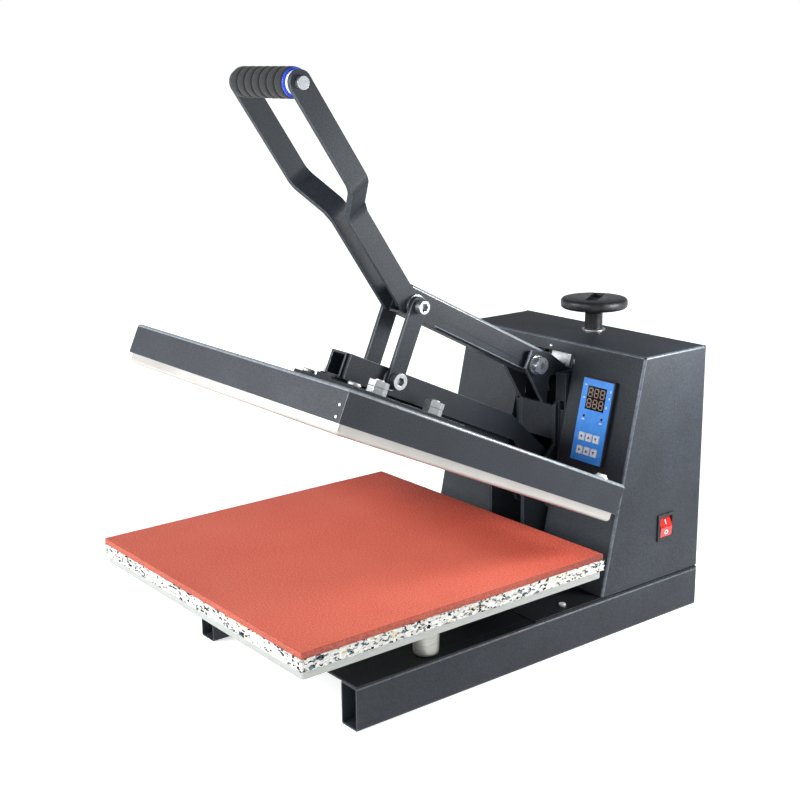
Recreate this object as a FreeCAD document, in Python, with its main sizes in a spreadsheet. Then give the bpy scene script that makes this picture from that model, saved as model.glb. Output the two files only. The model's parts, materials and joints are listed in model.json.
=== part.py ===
import FreeCAD, Part
import os
import re
import Sketcher

# Clamshell flat heat press for a 38 cm square, shown open.
# X runs to the user's right, Y to the back and Z up. The origin is on the table,
# under the middle of the machine's outer box. Lengths are millimetres.

doc = FreeCAD.newDocument("FlatHeatPress")
sheet = doc.addObject("Spreadsheet::Sheet", "dims")

# Driving sizes: name, number, what it measures
SIZES = [
    ("base_width", 293, "outer width over both rails"),
    ("rail_length", 494, "each rail, front to back"),
    ("rail_rear", 287.2, "rear end of the rails, from the middle"),
    ("rail_width", 25, "rail tube, across"),
    ("rail_height", 45, "rail tube, up"),
    ("rail_wall", 1.6, "rail and cross tube wall"),
    ("rail_corner", 2, "outer corner of the tubes"),
    ("cross_width", 40, "cross tube, front to back"),
    ("cross_height", 25, "cross tube, up"),
    ("deck_gauge", 2, "deck plate on the rails"),
    ("pan_gauge", 1.5, "floor pan of the housing"),
    ("pan_reach", 100, "pan in front of the housing's foot"),
    ("pan_screw_inset", 12, "pan screw to the pan's side edge"),
    ("pan_screw_lead", 49, "pan screw in front of the housing's foot"),
    ("screw_shank", 2, "sheet screw shank"),
    ("screw_head", 4, "sheet screw head"),
    ("screw_head_height", 2.6, "sheet screw head, up"),
    ("housing_inset", 1.5, "housing inside the rails' outer faces, each side"),
    ("housing_rise", 22, "top of the housing above the arm pivot"),
    ("housing_foot", 129.9, "foot of the sloped front, from the middle"),
    ("housing_depth", 157, "foot of the sloped front to the shell's rear edge"),
    ("slope_angle", 12.66, "front leans back by, degrees"),
    ("sheet_gauge", 1.5, "housing sheet"),
    ("sheet_corner", 2.5, "outer bend of the housing sheet"),
    ("slot_half", 42, "half width of the front slot"),
    ("slot_top", 13.5, "slot's upper end below the top"),
    ("vent_length", 80, "vent slot in the back panel"),
    ("vent_height", 4.5, "vent slot, up"),
    ("vent_pitch", 12, "vent slot to vent slot"),
    ("vent_count", 6, "vent slots in the back panel"),
    ("vent_top", 60, "first vent slot below the top"),
    ("back_screw_inset", 8, "back panel screw to the edges"),
    ("pad_side", 380, "silicone pad, square"),
    ("pad_front", 297.1, "front edge of the pad, from the middle"),
    ("silicone_height", 6.6, "silicone pad"),
    ("foam_height", 11.8, "foam pad"),
    ("foam_proud", 1, "foam beyond the silicone, each side"),
    ("tray_height", 8.6, "alloy tray"),
    ("tray_inset", 1.5, "tray inside the silicone, each side"),
    ("post_height", 50.4, "platen post"),
    ("post_radius", 15, "platen post at the top"),
    ("post_foot", 13.2, "platen post at the foot"),
    ("post_round", 4, "rounding at the foot of a post"),
    ("post_lead", 5, "outer post inside the rail's middle"),
    ("base_bolt_radius", 3, "bolt under a post or in a foot angle"),
    ("base_bolt_bite", 18, "bolt inside a post"),
    ("base_head_radius", 5.6, "its head over the corners"),
    ("base_head_height", 4, "its head, up"),
    ("column_gap", 25, "inner face of a column plate from the middle"),
    ("column_gauge", 5, "column plate"),
    ("column_front", 119.6, "front edge of the column's hinge cheeks"),
    ("column_cheek_top", 101, "hinge cheek, above the deck"),
    ("column_face", 167.6, "front of the column above the cheeks"),
    ("column_face_foot", 143, "where the column's face starts, above the deck"),
    ("column_step", 191, "where the face steps back, above the deck"),
    ("column_step_depth", 5, "depth of the step"),
    ("column_rear", 276.2, "rear edge of the column"),
    ("column_rise", 14, "top of the column plates above the arm pivot"),
    ("web_foot", 150, "front web, lower edge above the deck"),
    ("web_height", 40, "front web, up"),
    ("flange_reach", 11, "column flange, outwards"),
    ("flange_gauge", 4, "column flange"),
    ("flange_foot", 104, "column flange, lower end above the deck"),
    ("flange_drop", 12, "column flange, upper end below the arm pivot"),
    ("flange_hole", 8, "hole in the flange, across"),
    ("flange_hole_height", 11, "hole in the flange, up"),
    ("flange_hole_foot", 185.5, "hole in the flange, lower edge above the deck"),
    ("top_plate_height", 6, "plate on the column"),
    ("top_plate_front", 203.1, "front edge of the plate on the column"),
    ("foot_angle_leg", 24, "leg of the column's foot angles"),
    ("foot_angle_gauge", 4, "gauge of the foot angles"),
    ("foot_angle_length", 100, "foot angle, front to back"),
    ("hinge_across", 160.6, "platen hinge axis, from the middle"),
    ("hinge_height", 128, "platen hinge axis, above the table"),
    ("hinge_radius", 6, "platen hinge bolt shank"),
    ("hinge_head_radius", 10.5, "platen hinge bolt head"),
    ("hinge_head_height", 8, "platen hinge bolt head"),
    ("bush_radius", 9.5, "bushes on the hinge bolts"),
    ("open_angle", 24.6, "platen's tilt when open, degrees"),
    ("pivot_across", 145.1, "arm pivot axis, from the middle"),
    ("pivot_height", 288, "arm pivot axis, above the table"),
    ("pivot_radius", 6, "arm pivot bolt shank"),
    ("pivot_head_radius", 9.5, "arm pivot bolt head"),
    ("pivot_head_height", 8, "arm pivot bolt head"),
    ("pivot_washer", 2, "washer under the arm pivot bolt's head"),
    ("arm_reach", 193.8, "arm pivot to upper link bolt"),
    ("arm_angle", 27, "arm above level when open, degrees"),
    ("arm_width", 25, "arm tube, across"),
    ("arm_depth", 32, "arm tube, up"),
    ("arm_wall", 2, "arm tube wall"),
    ("arm_corner", 3, "outer corner of the arm tube"),
    ("arm_offset", 4, "arm tube's middle above the bolts' line"),
    ("arm_tip", 8, "arm tube beyond the upper link bolt"),
    ("arm_tail", 13, "arm tube behind the pivot"),
    ("bar_gauge", 5, "handle bar, thickness"),
    ("bar_width", 24, "handle bar, width"),
    ("bar_offset", 3.8, "handle bars' middle in front of the link bolt"),
    ("handle_angle", 29, "handle above the arm, degrees"),
    ("handle_reach", 280, "upper link bolt to the grip's axis"),
    ("fork_half", 53, "outer face of the fork from the middle"),
    ("jog_foot", 128, "link bolt to the start of the jog"),
    ("jog_length", 36, "jog, along the handle"),
    ("grip_radius", 15, "foam grip"),
    ("grip_groove", 1.2, "depth of the grip's grooves"),
    ("grip_ribs", 7, "ribs of the foam grip"),
    ("grip_rod_radius", 8, "steel rod in the grip"),
    ("collar_width", 1.6, "blue collar"),
    ("collar_radius", 14.2, "blue collar"),
    ("ring_width", 4.2, "white ring"),
    ("ring_radius", 11.6, "white ring"),
    ("grip_bolt_radius", 4, "grip bolt shank"),
    ("grip_bolt_bite", 20, "grip bolt inside the rod"),
    ("grip_head_radius", 6.5, "grip bolt head"),
    ("grip_head_height", 4.5, "grip bolt head"),
    ("link_width", 21, "link, width"),
    ("link_gauge", 5, "link, thickness"),
    ("link_bolt_radius", 5, "link bolt shank"),
    ("link_head_radius", 7, "upper link bolt's head"),
    ("lower_head_radius", 9, "lower link bolts' heads"),
    ("link_head_height", 8, "link bolt head"),
    ("link_washer_radius", 12, "washer inside a link"),
    ("link_washer_height", 2.2, "washer inside a link"),
    ("socket_radius", 4.6, "hexagon socket, over its corners"),
    ("socket_depth", 4, "hexagon socket"),
    ("beam_width", 25, "beam tube, across"),
    ("beam_height", 27, "beam tube, up"),
    ("beam_wall", 2.5, "beam tube wall"),
    ("beam_rise", 11, "beam above the cover"),
    ("beam_reach", 263, "beam in front of the cover's rear edge"),
    ("beam_setback", 3, "beam cheek behind the tube's front end"),
    ("cheek_gauge", 5, "beam cheek"),
    ("cheek_shoulder", 91, "shoulder of the cheek in front of the hinge"),
    ("link_seat", 273.1, "lower link bolt in front of the hinge, closed"),
    ("link_seat_height", 66.3, "lower link bolt above the hinge, closed"),
    ("tail_reach", 50, "spring pin behind the hinge, closed"),
    ("tail_height", 10, "spring pin above the hinge, closed"),
    ("tail_pin_radius", 5, "spring pins"),
    ("spring_radius", 9, "lift spring, outside"),
    ("spring_wire", 2.4, "lift spring, wire"),
    ("spring_foot", 68, "lower spring pin, above the table"),
    ("plate_height", 20, "heat plate"),
    ("plate_corner", 4, "upright corners of the heat plate"),
    ("press_gap", 0.4, "heat plate above the pad when closed"),
    ("cover_lap", 2.5, "cover beyond the heat plate, front and rear"),
    ("cover_skirt", 2, "cover beyond the heat plate, each side"),
    ("cover_drop", 32, "cover, up"),
    ("cover_rise", 42, "cover's top above the heat plate's face"),
    ("cover_rear", 72.9, "cover's rear edge in front of the hinge"),
    ("cover_gauge", 1.5, "cover sheet"),
    ("cover_corner", 3, "outer bend of the cover"),
    ("board_inset", 6, "insulation board inside the heat plate"),
    ("board_height", 17, "insulation board"),
    ("heater_reach", 150, "heating element's legs from the plate's middle"),
    ("heater_width", 9, "heating element"),
    ("heater_depth", 8, "heating element, up"),
    ("stud_spread", 40, "stud from the middle, across"),
    ("stud_pitch", 80, "front stud to rear stud"),
    ("stud_radius", 5, "stud"),
    ("stud_bite", 10, "stud inside the heat plate"),
    ("spacer_radius", 9, "spacer on a stud"),
    ("seat_height", 7, "mounting plate"),
    ("seat_width", 104, "mounting plate, across"),
    ("seat_length", 160, "mounting plate, front to back"),
    ("nut_height", 6.8, "nut on a stud"),
    ("nut_seam", 0.2, "seam between two stacked nuts"),
    ("stud_end", 1.5, "stud above its nuts"),
    ("nut_radius", 11, "nut over its corners"),
    ("dome_lead", 30, "dome screw in front of the front stud"),
    ("dome_radius", 7, "dome screw's head"),
    ("dome_height", 4, "dome screw's head, up"),
    ("dome_shank", 3, "dome screw's shank"),
    ("rivet_radius", 1.5, "cover rivet"),
    ("rivet_height", 0.8, "cover rivet head"),
    ("rivet_inset", 6.5, "cover rivet to the corner"),
    ("knob_place", 258.6, "knob axis, from the middle"),
    ("knob_radius", 39.5, "pressure knob"),
    ("knob_height", 12, "pressure knob's disc"),
    ("knob_round", 4, "rounding of the disc"),
    ("knob_rise", 27, "disc above the housing"),
    ("knob_bite", 5, "screw inside the disc"),
    ("neck_radius", 10.5, "knob neck"),
    ("neck_flare", 6, "flare of the neck below the disc"),
    ("recess_width", 14.5, "recess in the knob's top"),
    ("recess_depth", 5, "recess, down"),
    ("recess_rim", 2.5, "recess's far end to the knob's rim"),
    ("recess_near", 21, "recess beyond the knob's axis"),
    ("recess_angle", 122, "recess, turned from the right, degrees"),
    ("knob_washer_radius", 14, "washer under the knob"),
    ("knob_washer_height", 2, "washer under the knob"),
    ("screw_radius", 6, "pressure screw"),
    ("screw_tail", 3, "pressure screw below its lower collar"),
    ("screw_collar_height", 4, "collars on the pressure screw"),
    ("screw_collar_radius", 10, "collars on the pressure screw"),
    ("bracket_inner", 15.5, "inner face of a bracket cheek"),
    ("bracket_gauge", 5, "bracket cheek"),
    ("bracket_nose", 15.5, "bracket in front of the arm pivot"),
    ("bracket_crown", 17, "bracket above the arm pivot"),
    ("bracket_drop", 47, "bracket below the arm pivot"),
    ("bracket_leg", 12, "front of the bracket's foot behind the pivot"),
    ("bracket_peak", 7, "highest point of the bracket in front of the pivot"),
    ("bracket_toe", 5, "width of the foot's tip"),
    ("bracket_brow", 20, "corner where the bracket's upper edge turns down, behind the pivot"),
    ("bracket_brow_rise", 11.5, "that corner above the pivot"),
    ("bracket_heel", 53, "lower end of the bracket's slope behind the pivot"),
    ("bracket_heel_drop", 12, "lower end of the bracket's slope below the pivot"),
    ("bracket_belly", 16, "underside of the bracket's slope below the pivot"),
    ("bracket_set", 4, "from the slope's end to the rear part"),
    ("bracket_lean", 5, "lean of the rear part's front edge"),
    ("stiffener_drop", 12, "bracket's stiffener below the slope's end"),
    ("bracket_roof", 4, "level web above the arm pivot"),
    ("bracket_rear", 124, "bracket behind the arm pivot"),
    ("guide_length", 60, "guide pad, front to back"),
    ("guide_height", 40, "guide pad, up"),
    ("controller_inset", 55, "controller's middle to the housing's side"),
    ("controller_drop", 81.55, "controller's middle below the slope's top"),
    ("controller_width", 48, "controller bezel, across"),
    ("controller_height", 96, "controller bezel, up"),
    ("controller_proud", 5.2, "controller bezel in front of the sheet"),
    ("controller_depth", 62, "controller behind the sheet"),
    ("controller_rim", 1.5, "black rim round the blue face"),
    ("face_gauge", 1, "blue face"),
    ("window_width", 28, "display window"),
    ("window_height", 26.5, "display window, up"),
    ("window_drop", 21, "display window's middle below the face's top"),
    ("lamp_radius", 1.5, "indicator lamp"),
    ("lamp_spread", 13.4, "indicator lamp from the middle"),
    ("lamp_drop", 42, "indicator lamps below the face's top"),
    ("key_width", 8.6, "key, across"),
    ("key_height", 9, "key, up"),
    ("key_pitch", 10.7, "key to key, across"),
    ("key_row_pitch", 15.4, "key row to key row"),
    ("key_foot", 12.6, "lower key row above the face's foot"),
    ("key_proud", 0.9, "key in front of the face"),
    ("key_travel", 0.8, "key travel"),
    ("switch_place", 230.6, "switch, from the middle"),
    ("switch_rise", 61.3, "switch above the deck"),
    ("switch_width", 26.5, "switch bezel, front to back"),
    ("switch_height", 31, "switch bezel, up"),
    ("switch_proud", 2, "switch bezel in front of the sheet"),
    ("switch_depth", 24, "switch body behind the sheet"),
    ("rocker_width", 19, "rocker, front to back"),
    ("rocker_half", 11.4, "rocker's half height"),
    ("rocker_angle", 8, "rocker's tilt from the middle, degrees"),
    ("rocker_sink", 2.5, "rocker axis behind the bezel's face"),
    ("inlet_inset", 50, "mains inlet's middle to the housing's side"),
    ("inlet_rise", 40, "mains inlet above the deck"),
    ("inlet_width", 48, "inlet flange, across"),
    ("inlet_height", 30, "inlet flange, up"),
    ("inlet_bore_width", 24, "inlet socket, across"),
    ("inlet_bore_height", 16.5, "inlet socket, up"),
    ("inlet_depth", 18, "inlet socket"),
    ("inlet_blade_pitch", 7, "blade to blade in the inlet"),
    ("relay_inset", 55, "relay's middle to the housing's side"),
    ("relay_width", 45, "relay, across"),
    ("relay_length", 58, "relay, front to back"),
    ("relay_height", 26, "relay, up"),
    ("fit_gap", 0.05, "radial clearance of a shaft in its hole"),
    ("side_gap", 0.3, "side clearance between moving faces"),
]

# Sizes that follow from them
FOLLOWING = [
    ("housing_width", "base_width - 2 * housing_inset", "housing, across"),
    ("housing_height", "pivot_height + housing_rise - rail_height - deck_gauge", "housing above the deck"),
    ("post_spread", "(base_width - rail_width) / 2 - post_lead", "outer post from the middle"),
    ("column_height", "pivot_height + column_rise - rail_height - deck_gauge - pan_gauge", "column above the pan"),
    ("flange_top", "pivot_height - flange_drop - rail_height - deck_gauge", "column flange's upper end"),
    ("plate_side", "pad_side", "heat plate, square"),
    ("cover_length", "plate_side + 2 * cover_lap", "cover, front to back"),
    ("cover_width", "plate_side + 2 * cover_skirt", "cover, across"),
    ("controller_place", "housing_width / 2 - controller_inset", "controller from the middle"),
    ("inlet_place", "housing_width / 2 - inlet_inset", "mains inlet from the middle"),
    ("relay_place", "housing_width / 2 - relay_inset", "relay from the middle"),
    ("controller_rise", "housing_height / cos(slope_angle) - controller_drop", "controller up the slope"),
]

rows = SIZES + [(name, f"={formula}", note) for name, formula, note in FOLLOWING]
for row, (name, content, note) in enumerate(rows, start=1):
    sheet.set(f"A{row}", name)
    sheet.set(f"B{row}", str(content))
    sheet.set(f"C{row}", note)
    sheet.setAlias(f"B{row}", name)
doc.recompute()
NAMES = {name for name, content, note in rows}
PLANES = {"top": "XY_Plane", "front": "XZ_Plane", "side": "YZ_Plane"}


def bound(expression):
    """The expression as another object of the document reads it."""
    return re.sub(r"[a-z_]+", lambda word: f"dims.{word[0]}" if word[0] in NAMES else word[0], expression)


def value(expression):
    """The number that the expression gives now."""
    found = sheet.evalExpression(expression)
    return found.Value if hasattr(found, "Value") else float(found)


def piece(label, across="0", along="0", up="0", tilt="0"):
    """A body at a place, turned about X by a tilt in degrees."""
    body = doc.addObject("PartDesign::Body", label)
    body.Label = label
    turn = FreeCAD.Rotation(FreeCAD.Vector(1, 0, 0), value(tilt))
    spot = FreeCAD.Vector(value(across), value(along), value(up))
    body.Placement = FreeCAD.Placement(spot, turn)
    for axis, expression in (("x", across), ("y", along), ("z", up)):
        body.setExpression(f"Placement.Base.{axis}", bound(expression))
    if value(tilt):
        body.setExpression("Placement.Rotation.Angle", bound(tilt if value(tilt) > 0 else f"-({tilt})"))
        body.Placement.Rotation.Axis = FreeCAD.Vector(1 if value(tilt) > 0 else -1, 0, 0)
    return body


def sketch_on(body, view, offset):
    """A sketch that faces along X, Y or Z, moved along its own normal."""
    sketch = body.newObject("Sketcher::SketchObject", f"{body.Label}_sketch")
    plane = next(item for item in body.Origin.OriginFeatures if item.Role == PLANES[view])
    sketch.AttachmentSupport = (plane, [""])
    sketch.MapMode = "FlatFace"
    sketch.setExpression("AttachmentOffset.Base.z", bound(offset))
    return sketch


def pin_point(sketch, element, end, across, up):
    """Ties a point of the sketch to two expressions."""
    for kind, expression in (("DistanceX", across), ("DistanceY", up)):
        rule = Sketcher.Constraint(kind, -1, 1, element, end, value(expression))
        index = sketch.addConstraint(rule)
        sketch.setExpression(f"Constraints[{index}]", bound(expression))


def draw_run(sketch, corners):
    """A closed run of straight lines through the corners."""
    first = sketch.GeometryCount
    points = [FreeCAD.Vector(value(across), value(up), 0) for across, up in corners]
    for start, end in zip(points, points[1:] + points[:1]):
        sketch.addGeometry(Part.LineSegment(start, end))
    for index, (across, up) in enumerate(corners):
        following = first + (index + 1) % len(corners)
        sketch.addConstraint(Sketcher.Constraint("Coincident", first + index, 2, following, 1))
        pin_point(sketch, first + index, 1, across, up)


def draw_disc(sketch, across, up, radius):
    """A circle with a bound middle and radius."""
    middle = FreeCAD.Vector(value(across), value(up), 0)
    ring = sketch.addGeometry(Part.Circle(middle, FreeCAD.Vector(0, 0, 1), value(radius)))
    pin_point(sketch, ring, 3, across, up)
    index = sketch.addConstraint(Sketcher.Constraint("Radius", ring, value(radius)))
    sketch.setExpression(f"Constraints[{index}]", bound(radius))


def slab(body, view, low, high, runs=(), discs=(), cut=False):
    """Adds or cuts the runs and discs between two places along the view's axis."""
    offset = f"-({high})" if view == "front" else low
    sketch = sketch_on(body, view, offset)
    for corners in runs:
        draw_run(sketch, corners)
    for across, up, radius in discs:
        draw_disc(sketch, across, up, radius)
    before = body.Tip.Shape.Volume if cut else 0
    kind = "PartDesign::Pocket" if cut else "PartDesign::Pad"
    feature = body.newObject(kind, f"{body.Label}_slab")
    feature.Profile = sketch
    feature.Reversed = cut
    feature.setExpression("Length", bound(f"({high}) - ({low})"))
    doc.recompute()
    if cut and feature.Shape.Volume > before - 1e-6:
        raise RuntimeError(f"{body.Label}: a cut removed nothing")
    return feature


def spin(body, corners, up_axis=True):
    """Turns a closed run about the body's Z axis, or about its X axis."""
    sketch = sketch_on(body, "front", "0")
    draw_run(sketch, corners)
    feature = body.newObject("PartDesign::Revolution", f"{body.Label}_spin")
    feature.Profile = sketch
    feature.ReferenceAxis = (sketch, ["V_Axis" if up_axis else "H_Axis"])
    feature.Angle = 360
    doc.recompute()
    return feature


def box_run(left, low, right, high):
    """The four corners of a rectangle."""
    return [(left, low), (right, low), (right, high), (left, high)]


def mid_run(half_across, half_up, across="0", up="0"):
    """The four corners of a rectangle round a middle."""
    left, right = f"({across}) - ({half_across})", f"({across}) + ({half_across})"
    return box_run(left, f"({up}) - ({half_up})", right, f"({up}) + ({half_up})")


def hexagon(across, up, radius):
    """A hexagon's corners, one of them straight across from the middle."""
    turns = [60 * step for step in range(6)]
    return [(f"({across}) + ({radius}) * cos({turn})", f"({up}) + ({radius}) * sin({turn})") for turn in turns]


def round_edges(body, radius, pick):
    """Rounds the edges of the body's last feature that pick accepts."""
    base = body.Tip
    edges = []
    for index, edge in enumerate(base.Shape.Edges, start=1):
        if len(edge.Vertexes) != 2 or edge.Curve.TypeId != "Part::GeomLine":
            continue
        start, end = edge.Vertexes[0].Point, edge.Vertexes[1].Point
        if pick(start, end):
            edges.append(f"Edge{index}")
    feature = body.newObject("PartDesign::Fillet", f"{body.Label}_round")
    feature.Base = (base, edges)
    feature.setExpression("Radius", bound(radius))
    doc.recompute()
    return feature


def near(first, second):
    """True for two numbers that mean the same place."""
    return abs(first - second) < 0.01


def both_sides(low, high):
    """The same stretch on the right of the middle and, mirrored, on the left."""
    return [(low, high), (f"-({high})", f"-({low})")]


# Levels that several pieces share
deck_top = "(rail_height + deck_gauge)"
pan_top = f"({deck_top} + pan_gauge)"
housing_top = f"({deck_top} + housing_height)"
shell_rear = "(housing_foot + housing_depth)"
pad_middle = "(pad_side / 2 - pad_front)"
tray_foot = f"({deck_top} + post_height)"
foam_foot = f"({tray_foot} + tray_height)"
silicone_foot = f"({foam_foot} + foam_height)"
pad_top = f"({silicone_foot} + silicone_height)"
rail_front = "(rail_rear - rail_length)"
column_outer = "(column_gap + column_gauge)"
bracket_outer = "(bracket_inner + bracket_gauge)"
cheek_outer = "(beam_width / 2 + cheek_gauge)"
bar_outer = "(arm_width / 2 + bar_gauge)"

# Rails: open rectangular tubes with rounded long edges
rails = []
for side, label in ((1, "base_rail_right"), (-1, "base_rail_left")):
    middle = f"({side} * (base_width - rail_width) / 2)"
    rail = piece(label, across=middle)
    walls = mid_run("rail_width / 2", "rail_height / 2", up="rail_height / 2")
    slab(rail, "front", rail_front, "rail_rear", [walls])
    round_edges(rail, "rail_corner", lambda start, end: near(start.x, end.x) and near(start.z, end.z))
    bore = mid_run("rail_width / 2 - rail_wall", "rail_height / 2 - rail_wall", up="rail_height / 2")
    slab(rail, "front", rail_front, "rail_rear", [bore], cut=True)
    rails.append((side, rail))

# Cross tubes between the rails, under the posts and under the column
column_middle = "((column_face + column_rear) / 2)"
cross = piece("base_cross_tubes")
cross_half = "(base_width / 2 - rail_width)"
for middle in (pad_middle, column_middle):
    walls = mid_run("cross_width / 2", "cross_height / 2", middle, "rail_height - cross_height / 2")
    slab(cross, "side", f"-{cross_half}", cross_half, [walls])
for middle in (pad_middle, column_middle):
    bore = mid_run("cross_width / 2 - rail_wall", "cross_height / 2 - rail_wall", middle,
                   "rail_height - cross_height / 2")
    slab(cross, "side", f"-{cross_half}", cross_half, [bore], cut=True)

# Deck plate on the rails
posts = [("-post_spread", pad_middle), ("0", pad_middle), ("post_spread", pad_middle)]
foot_bolts = []
for side in (1, -1):
    for end in (1, -1):
        bolt_across = f"({side} * ({column_outer} + foot_angle_leg * 0.6))"
        bolt_along = f"({column_middle} + {end} * cross_width / 4)"
        foot_bolts.append((bolt_across, bolt_along))
pan_screws = [(f"({side} * (housing_width / 2 - pan_screw_inset))", "housing_foot - pan_screw_lead")
              for side in (1, -1)]
base_holes = [(x, y, "base_bolt_radius + fit_gap") for x, y in posts + foot_bolts]
pan_holes = [(x, y, "screw_shank + fit_gap") for x, y in pan_screws]
deck = piece("deck_plate")
slab(deck, "top", "rail_height", deck_top, [box_run("-base_width / 2", rail_front, "base_width / 2", "rail_rear")])
slab(deck, "top", "rail_height", deck_top, discs=base_holes + pan_holes, cut=True)

# Screw holes in the top walls of the rails and of the cross tubes
for side, rail in rails:
    middle = f"({side} * (base_width - rail_width) / 2)"
    holes = [(f"{side} * post_spread - {middle}", pad_middle, "base_bolt_radius + fit_gap"),
             (f"{side} * (housing_width / 2 - pan_screw_inset) - {middle}", pan_screws[0][1],
              "screw_shank + fit_gap")]
    slab(rail, "top", "rail_height - 2 * rail_wall", "rail_height", discs=holes, cut=True)
holes = [("0", pad_middle, "base_bolt_radius + fit_gap")]
slab(cross, "top", "rail_height - 2 * rail_wall", "rail_height",
     discs=holes + [(x, y, "base_bolt_radius + fit_gap") for x, y in foot_bolts], cut=True)

# Floor pan under the housing, lapped forward over the deck
pan = piece("housing_floor_pan")
pan_front = "(housing_foot - pan_reach)"
slab(pan, "top", deck_top, pan_top,
     [box_run("-housing_width / 2", pan_front, "housing_width / 2", shell_rear)])
slab(pan, "top", deck_top, pan_top,
     discs=[(x, y, "base_bolt_radius + fit_gap") for x, y in foot_bolts] + pan_holes, cut=True)

# Platen posts: turned, a little narrower and rounded at the foot
post = piece("platen_posts", across="-post_spread", along=pad_middle, up=deck_top)
foot_curve = [(f"post_foot - post_round * (1 - sin({turn}))", f"post_round * (1 - cos({turn}))")
              for turn in (0, 30, 60, 90)]
turned = spin(post, [("0", "0")] + foot_curve + [("post_radius", "post_height"), ("0", "post_height")])
bored = slab(post, "top", "0", "base_bolt_bite", discs=[("0", "0", "base_bolt_radius + fit_gap")], cut=True)
row = post.newObject("PartDesign::LinearPattern", "platen_posts_row")
row.Originals = [turned, bored]
row.Direction = (turned.Profile[0], ["H_Axis"])
row.setExpression("Length", bound("2 * post_spread"))
row.Occurrences = len(posts)
post.Tip = row

# Bolts under the posts, and in the column's foot angles
angle_top = f"({pan_top} + foot_angle_gauge)"
wall_foot = "(rail_height - rail_wall)"
bolts = piece("base_bolts")
slab(bolts, "top", wall_foot, f"{deck_top} + base_bolt_bite - side_gap",
     discs=[(x, y, "base_bolt_radius") for x, y in posts])
slab(bolts, "top", f"{wall_foot} - base_head_height", wall_foot, [hexagon(x, y, "base_head_radius") for x, y in posts])
slab(bolts, "top", f"{wall_foot} - base_head_height", angle_top,
     discs=[(x, y, "base_bolt_radius") for x, y in foot_bolts])
slab(bolts, "top", angle_top, f"{angle_top} + base_head_height",
     [hexagon(x, y, "base_head_radius") for x, y in foot_bolts])

# Lower platen: alloy tray, foam and silicone
tray = piece("lower_tray", along=pad_middle, up=tray_foot)
slab(tray, "top", "0", "tray_height", [mid_run("pad_side / 2 - tray_inset", "pad_side / 2 - tray_inset")])
round_edges(tray, "plate_corner", lambda start, end: near(start.x, end.x) and near(start.y, end.y))
foam = piece("foam_pad", along=pad_middle, up=foam_foot)
slab(foam, "top", "0", "foam_height", [mid_run("pad_side / 2 + foam_proud", "pad_side / 2 + foam_proud")])
silicone = piece("silicone_pad", along=pad_middle, up=silicone_foot)
slab(silicone, "top", "0", "silicone_height", [mid_run("pad_side / 2", "pad_side / 2")])

# Housing: one folded shell with a sloped front, open behind and below
lean = "tan(slope_angle)"
top_front = f"(housing_foot + housing_height * {lean})"
inner_lean = "(sheet_gauge / cos(slope_angle))"
shell = piece("housing_shell")
slab(shell, "side", "-housing_width / 2", "housing_width / 2",
     [[(f"housing_foot + pan_gauge * {lean}", pan_top), (shell_rear, pan_top), (shell_rear, housing_top),
       (top_front, housing_top)]])
round_edges(shell, "sheet_corner", lambda start, end: near(start.z, value(housing_top))
            and near(end.z, value(housing_top)) and not near(start.y, value(shell_rear)))
round_edges(shell, "sheet_corner", lambda start, end: near(abs(start.x), value("housing_width / 2"))
            and near(start.x, end.x) and max(start.y, end.y) < value(top_front) + 1
            and abs(start.z - end.z) > value("housing_height / 2"))
slab(shell, "side", "sheet_gauge - housing_width / 2", "housing_width / 2 - sheet_gauge",
     [[(f"housing_foot - 20 * {lean} + {inner_lean}", f"{deck_top} - 20"),
       (f"{shell_rear} + 20", f"{deck_top} - 20"), (f"{shell_rear} + 20", f"{housing_top} - sheet_gauge"),
       (f"{top_front} + {inner_lean} - sheet_gauge * {lean}", f"{housing_top} - sheet_gauge")]], cut=True)
slot_head = f"({housing_top} - slot_top)"
slab(shell, "front", "housing_foot - 10", f"{top_front} + sheet_corner",
     [box_run("-slot_half", f"{deck_top} - 10", "slot_half", slot_head)], cut=True)
knob_hole = [("0", "knob_place", "screw_radius + 1")]
slab(shell, "top", f"{housing_top} - 2 * sheet_gauge", housing_top, discs=knob_hole, cut=True)
switch_up = f"({deck_top} + switch_rise)"
switch_hole = mid_run("rocker_width / 2 + 2", "rocker_half + 2.4", "switch_place", switch_up)
slab(shell, "side", "housing_width / 2 - 2 * sheet_gauge", "housing_width / 2", [switch_hole], cut=True)
back_screws = [(f"{side} * (housing_width / 2 - back_screw_inset)", up)
               for side in (1, -1) for up in (f"{pan_top} + back_screw_inset", f"{housing_top} - back_screw_inset")]
back_screws.append(("0", f"{housing_top} - back_screw_inset"))
tab_half = "(back_screw_inset - sheet_gauge / 2)"
slab(shell, "front", f"{shell_rear} - 2 * sheet_gauge", shell_rear,
     [mid_run(tab_half, tab_half, x, z) for x, z in back_screws])
slab(shell, "front", f"{shell_rear} - 2 * sheet_gauge", shell_rear,
     discs=[(x, z, "screw_shank + fit_gap") for x, z in back_screws], cut=True)
slope_tilt = "90 - slope_angle"
slope_spot = dict(along="housing_foot", up=deck_top, tilt=slope_tilt)
case_half = "(controller_width / 2 - 2)"
case_half_up = "(controller_height / 2 - 3)"

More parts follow.
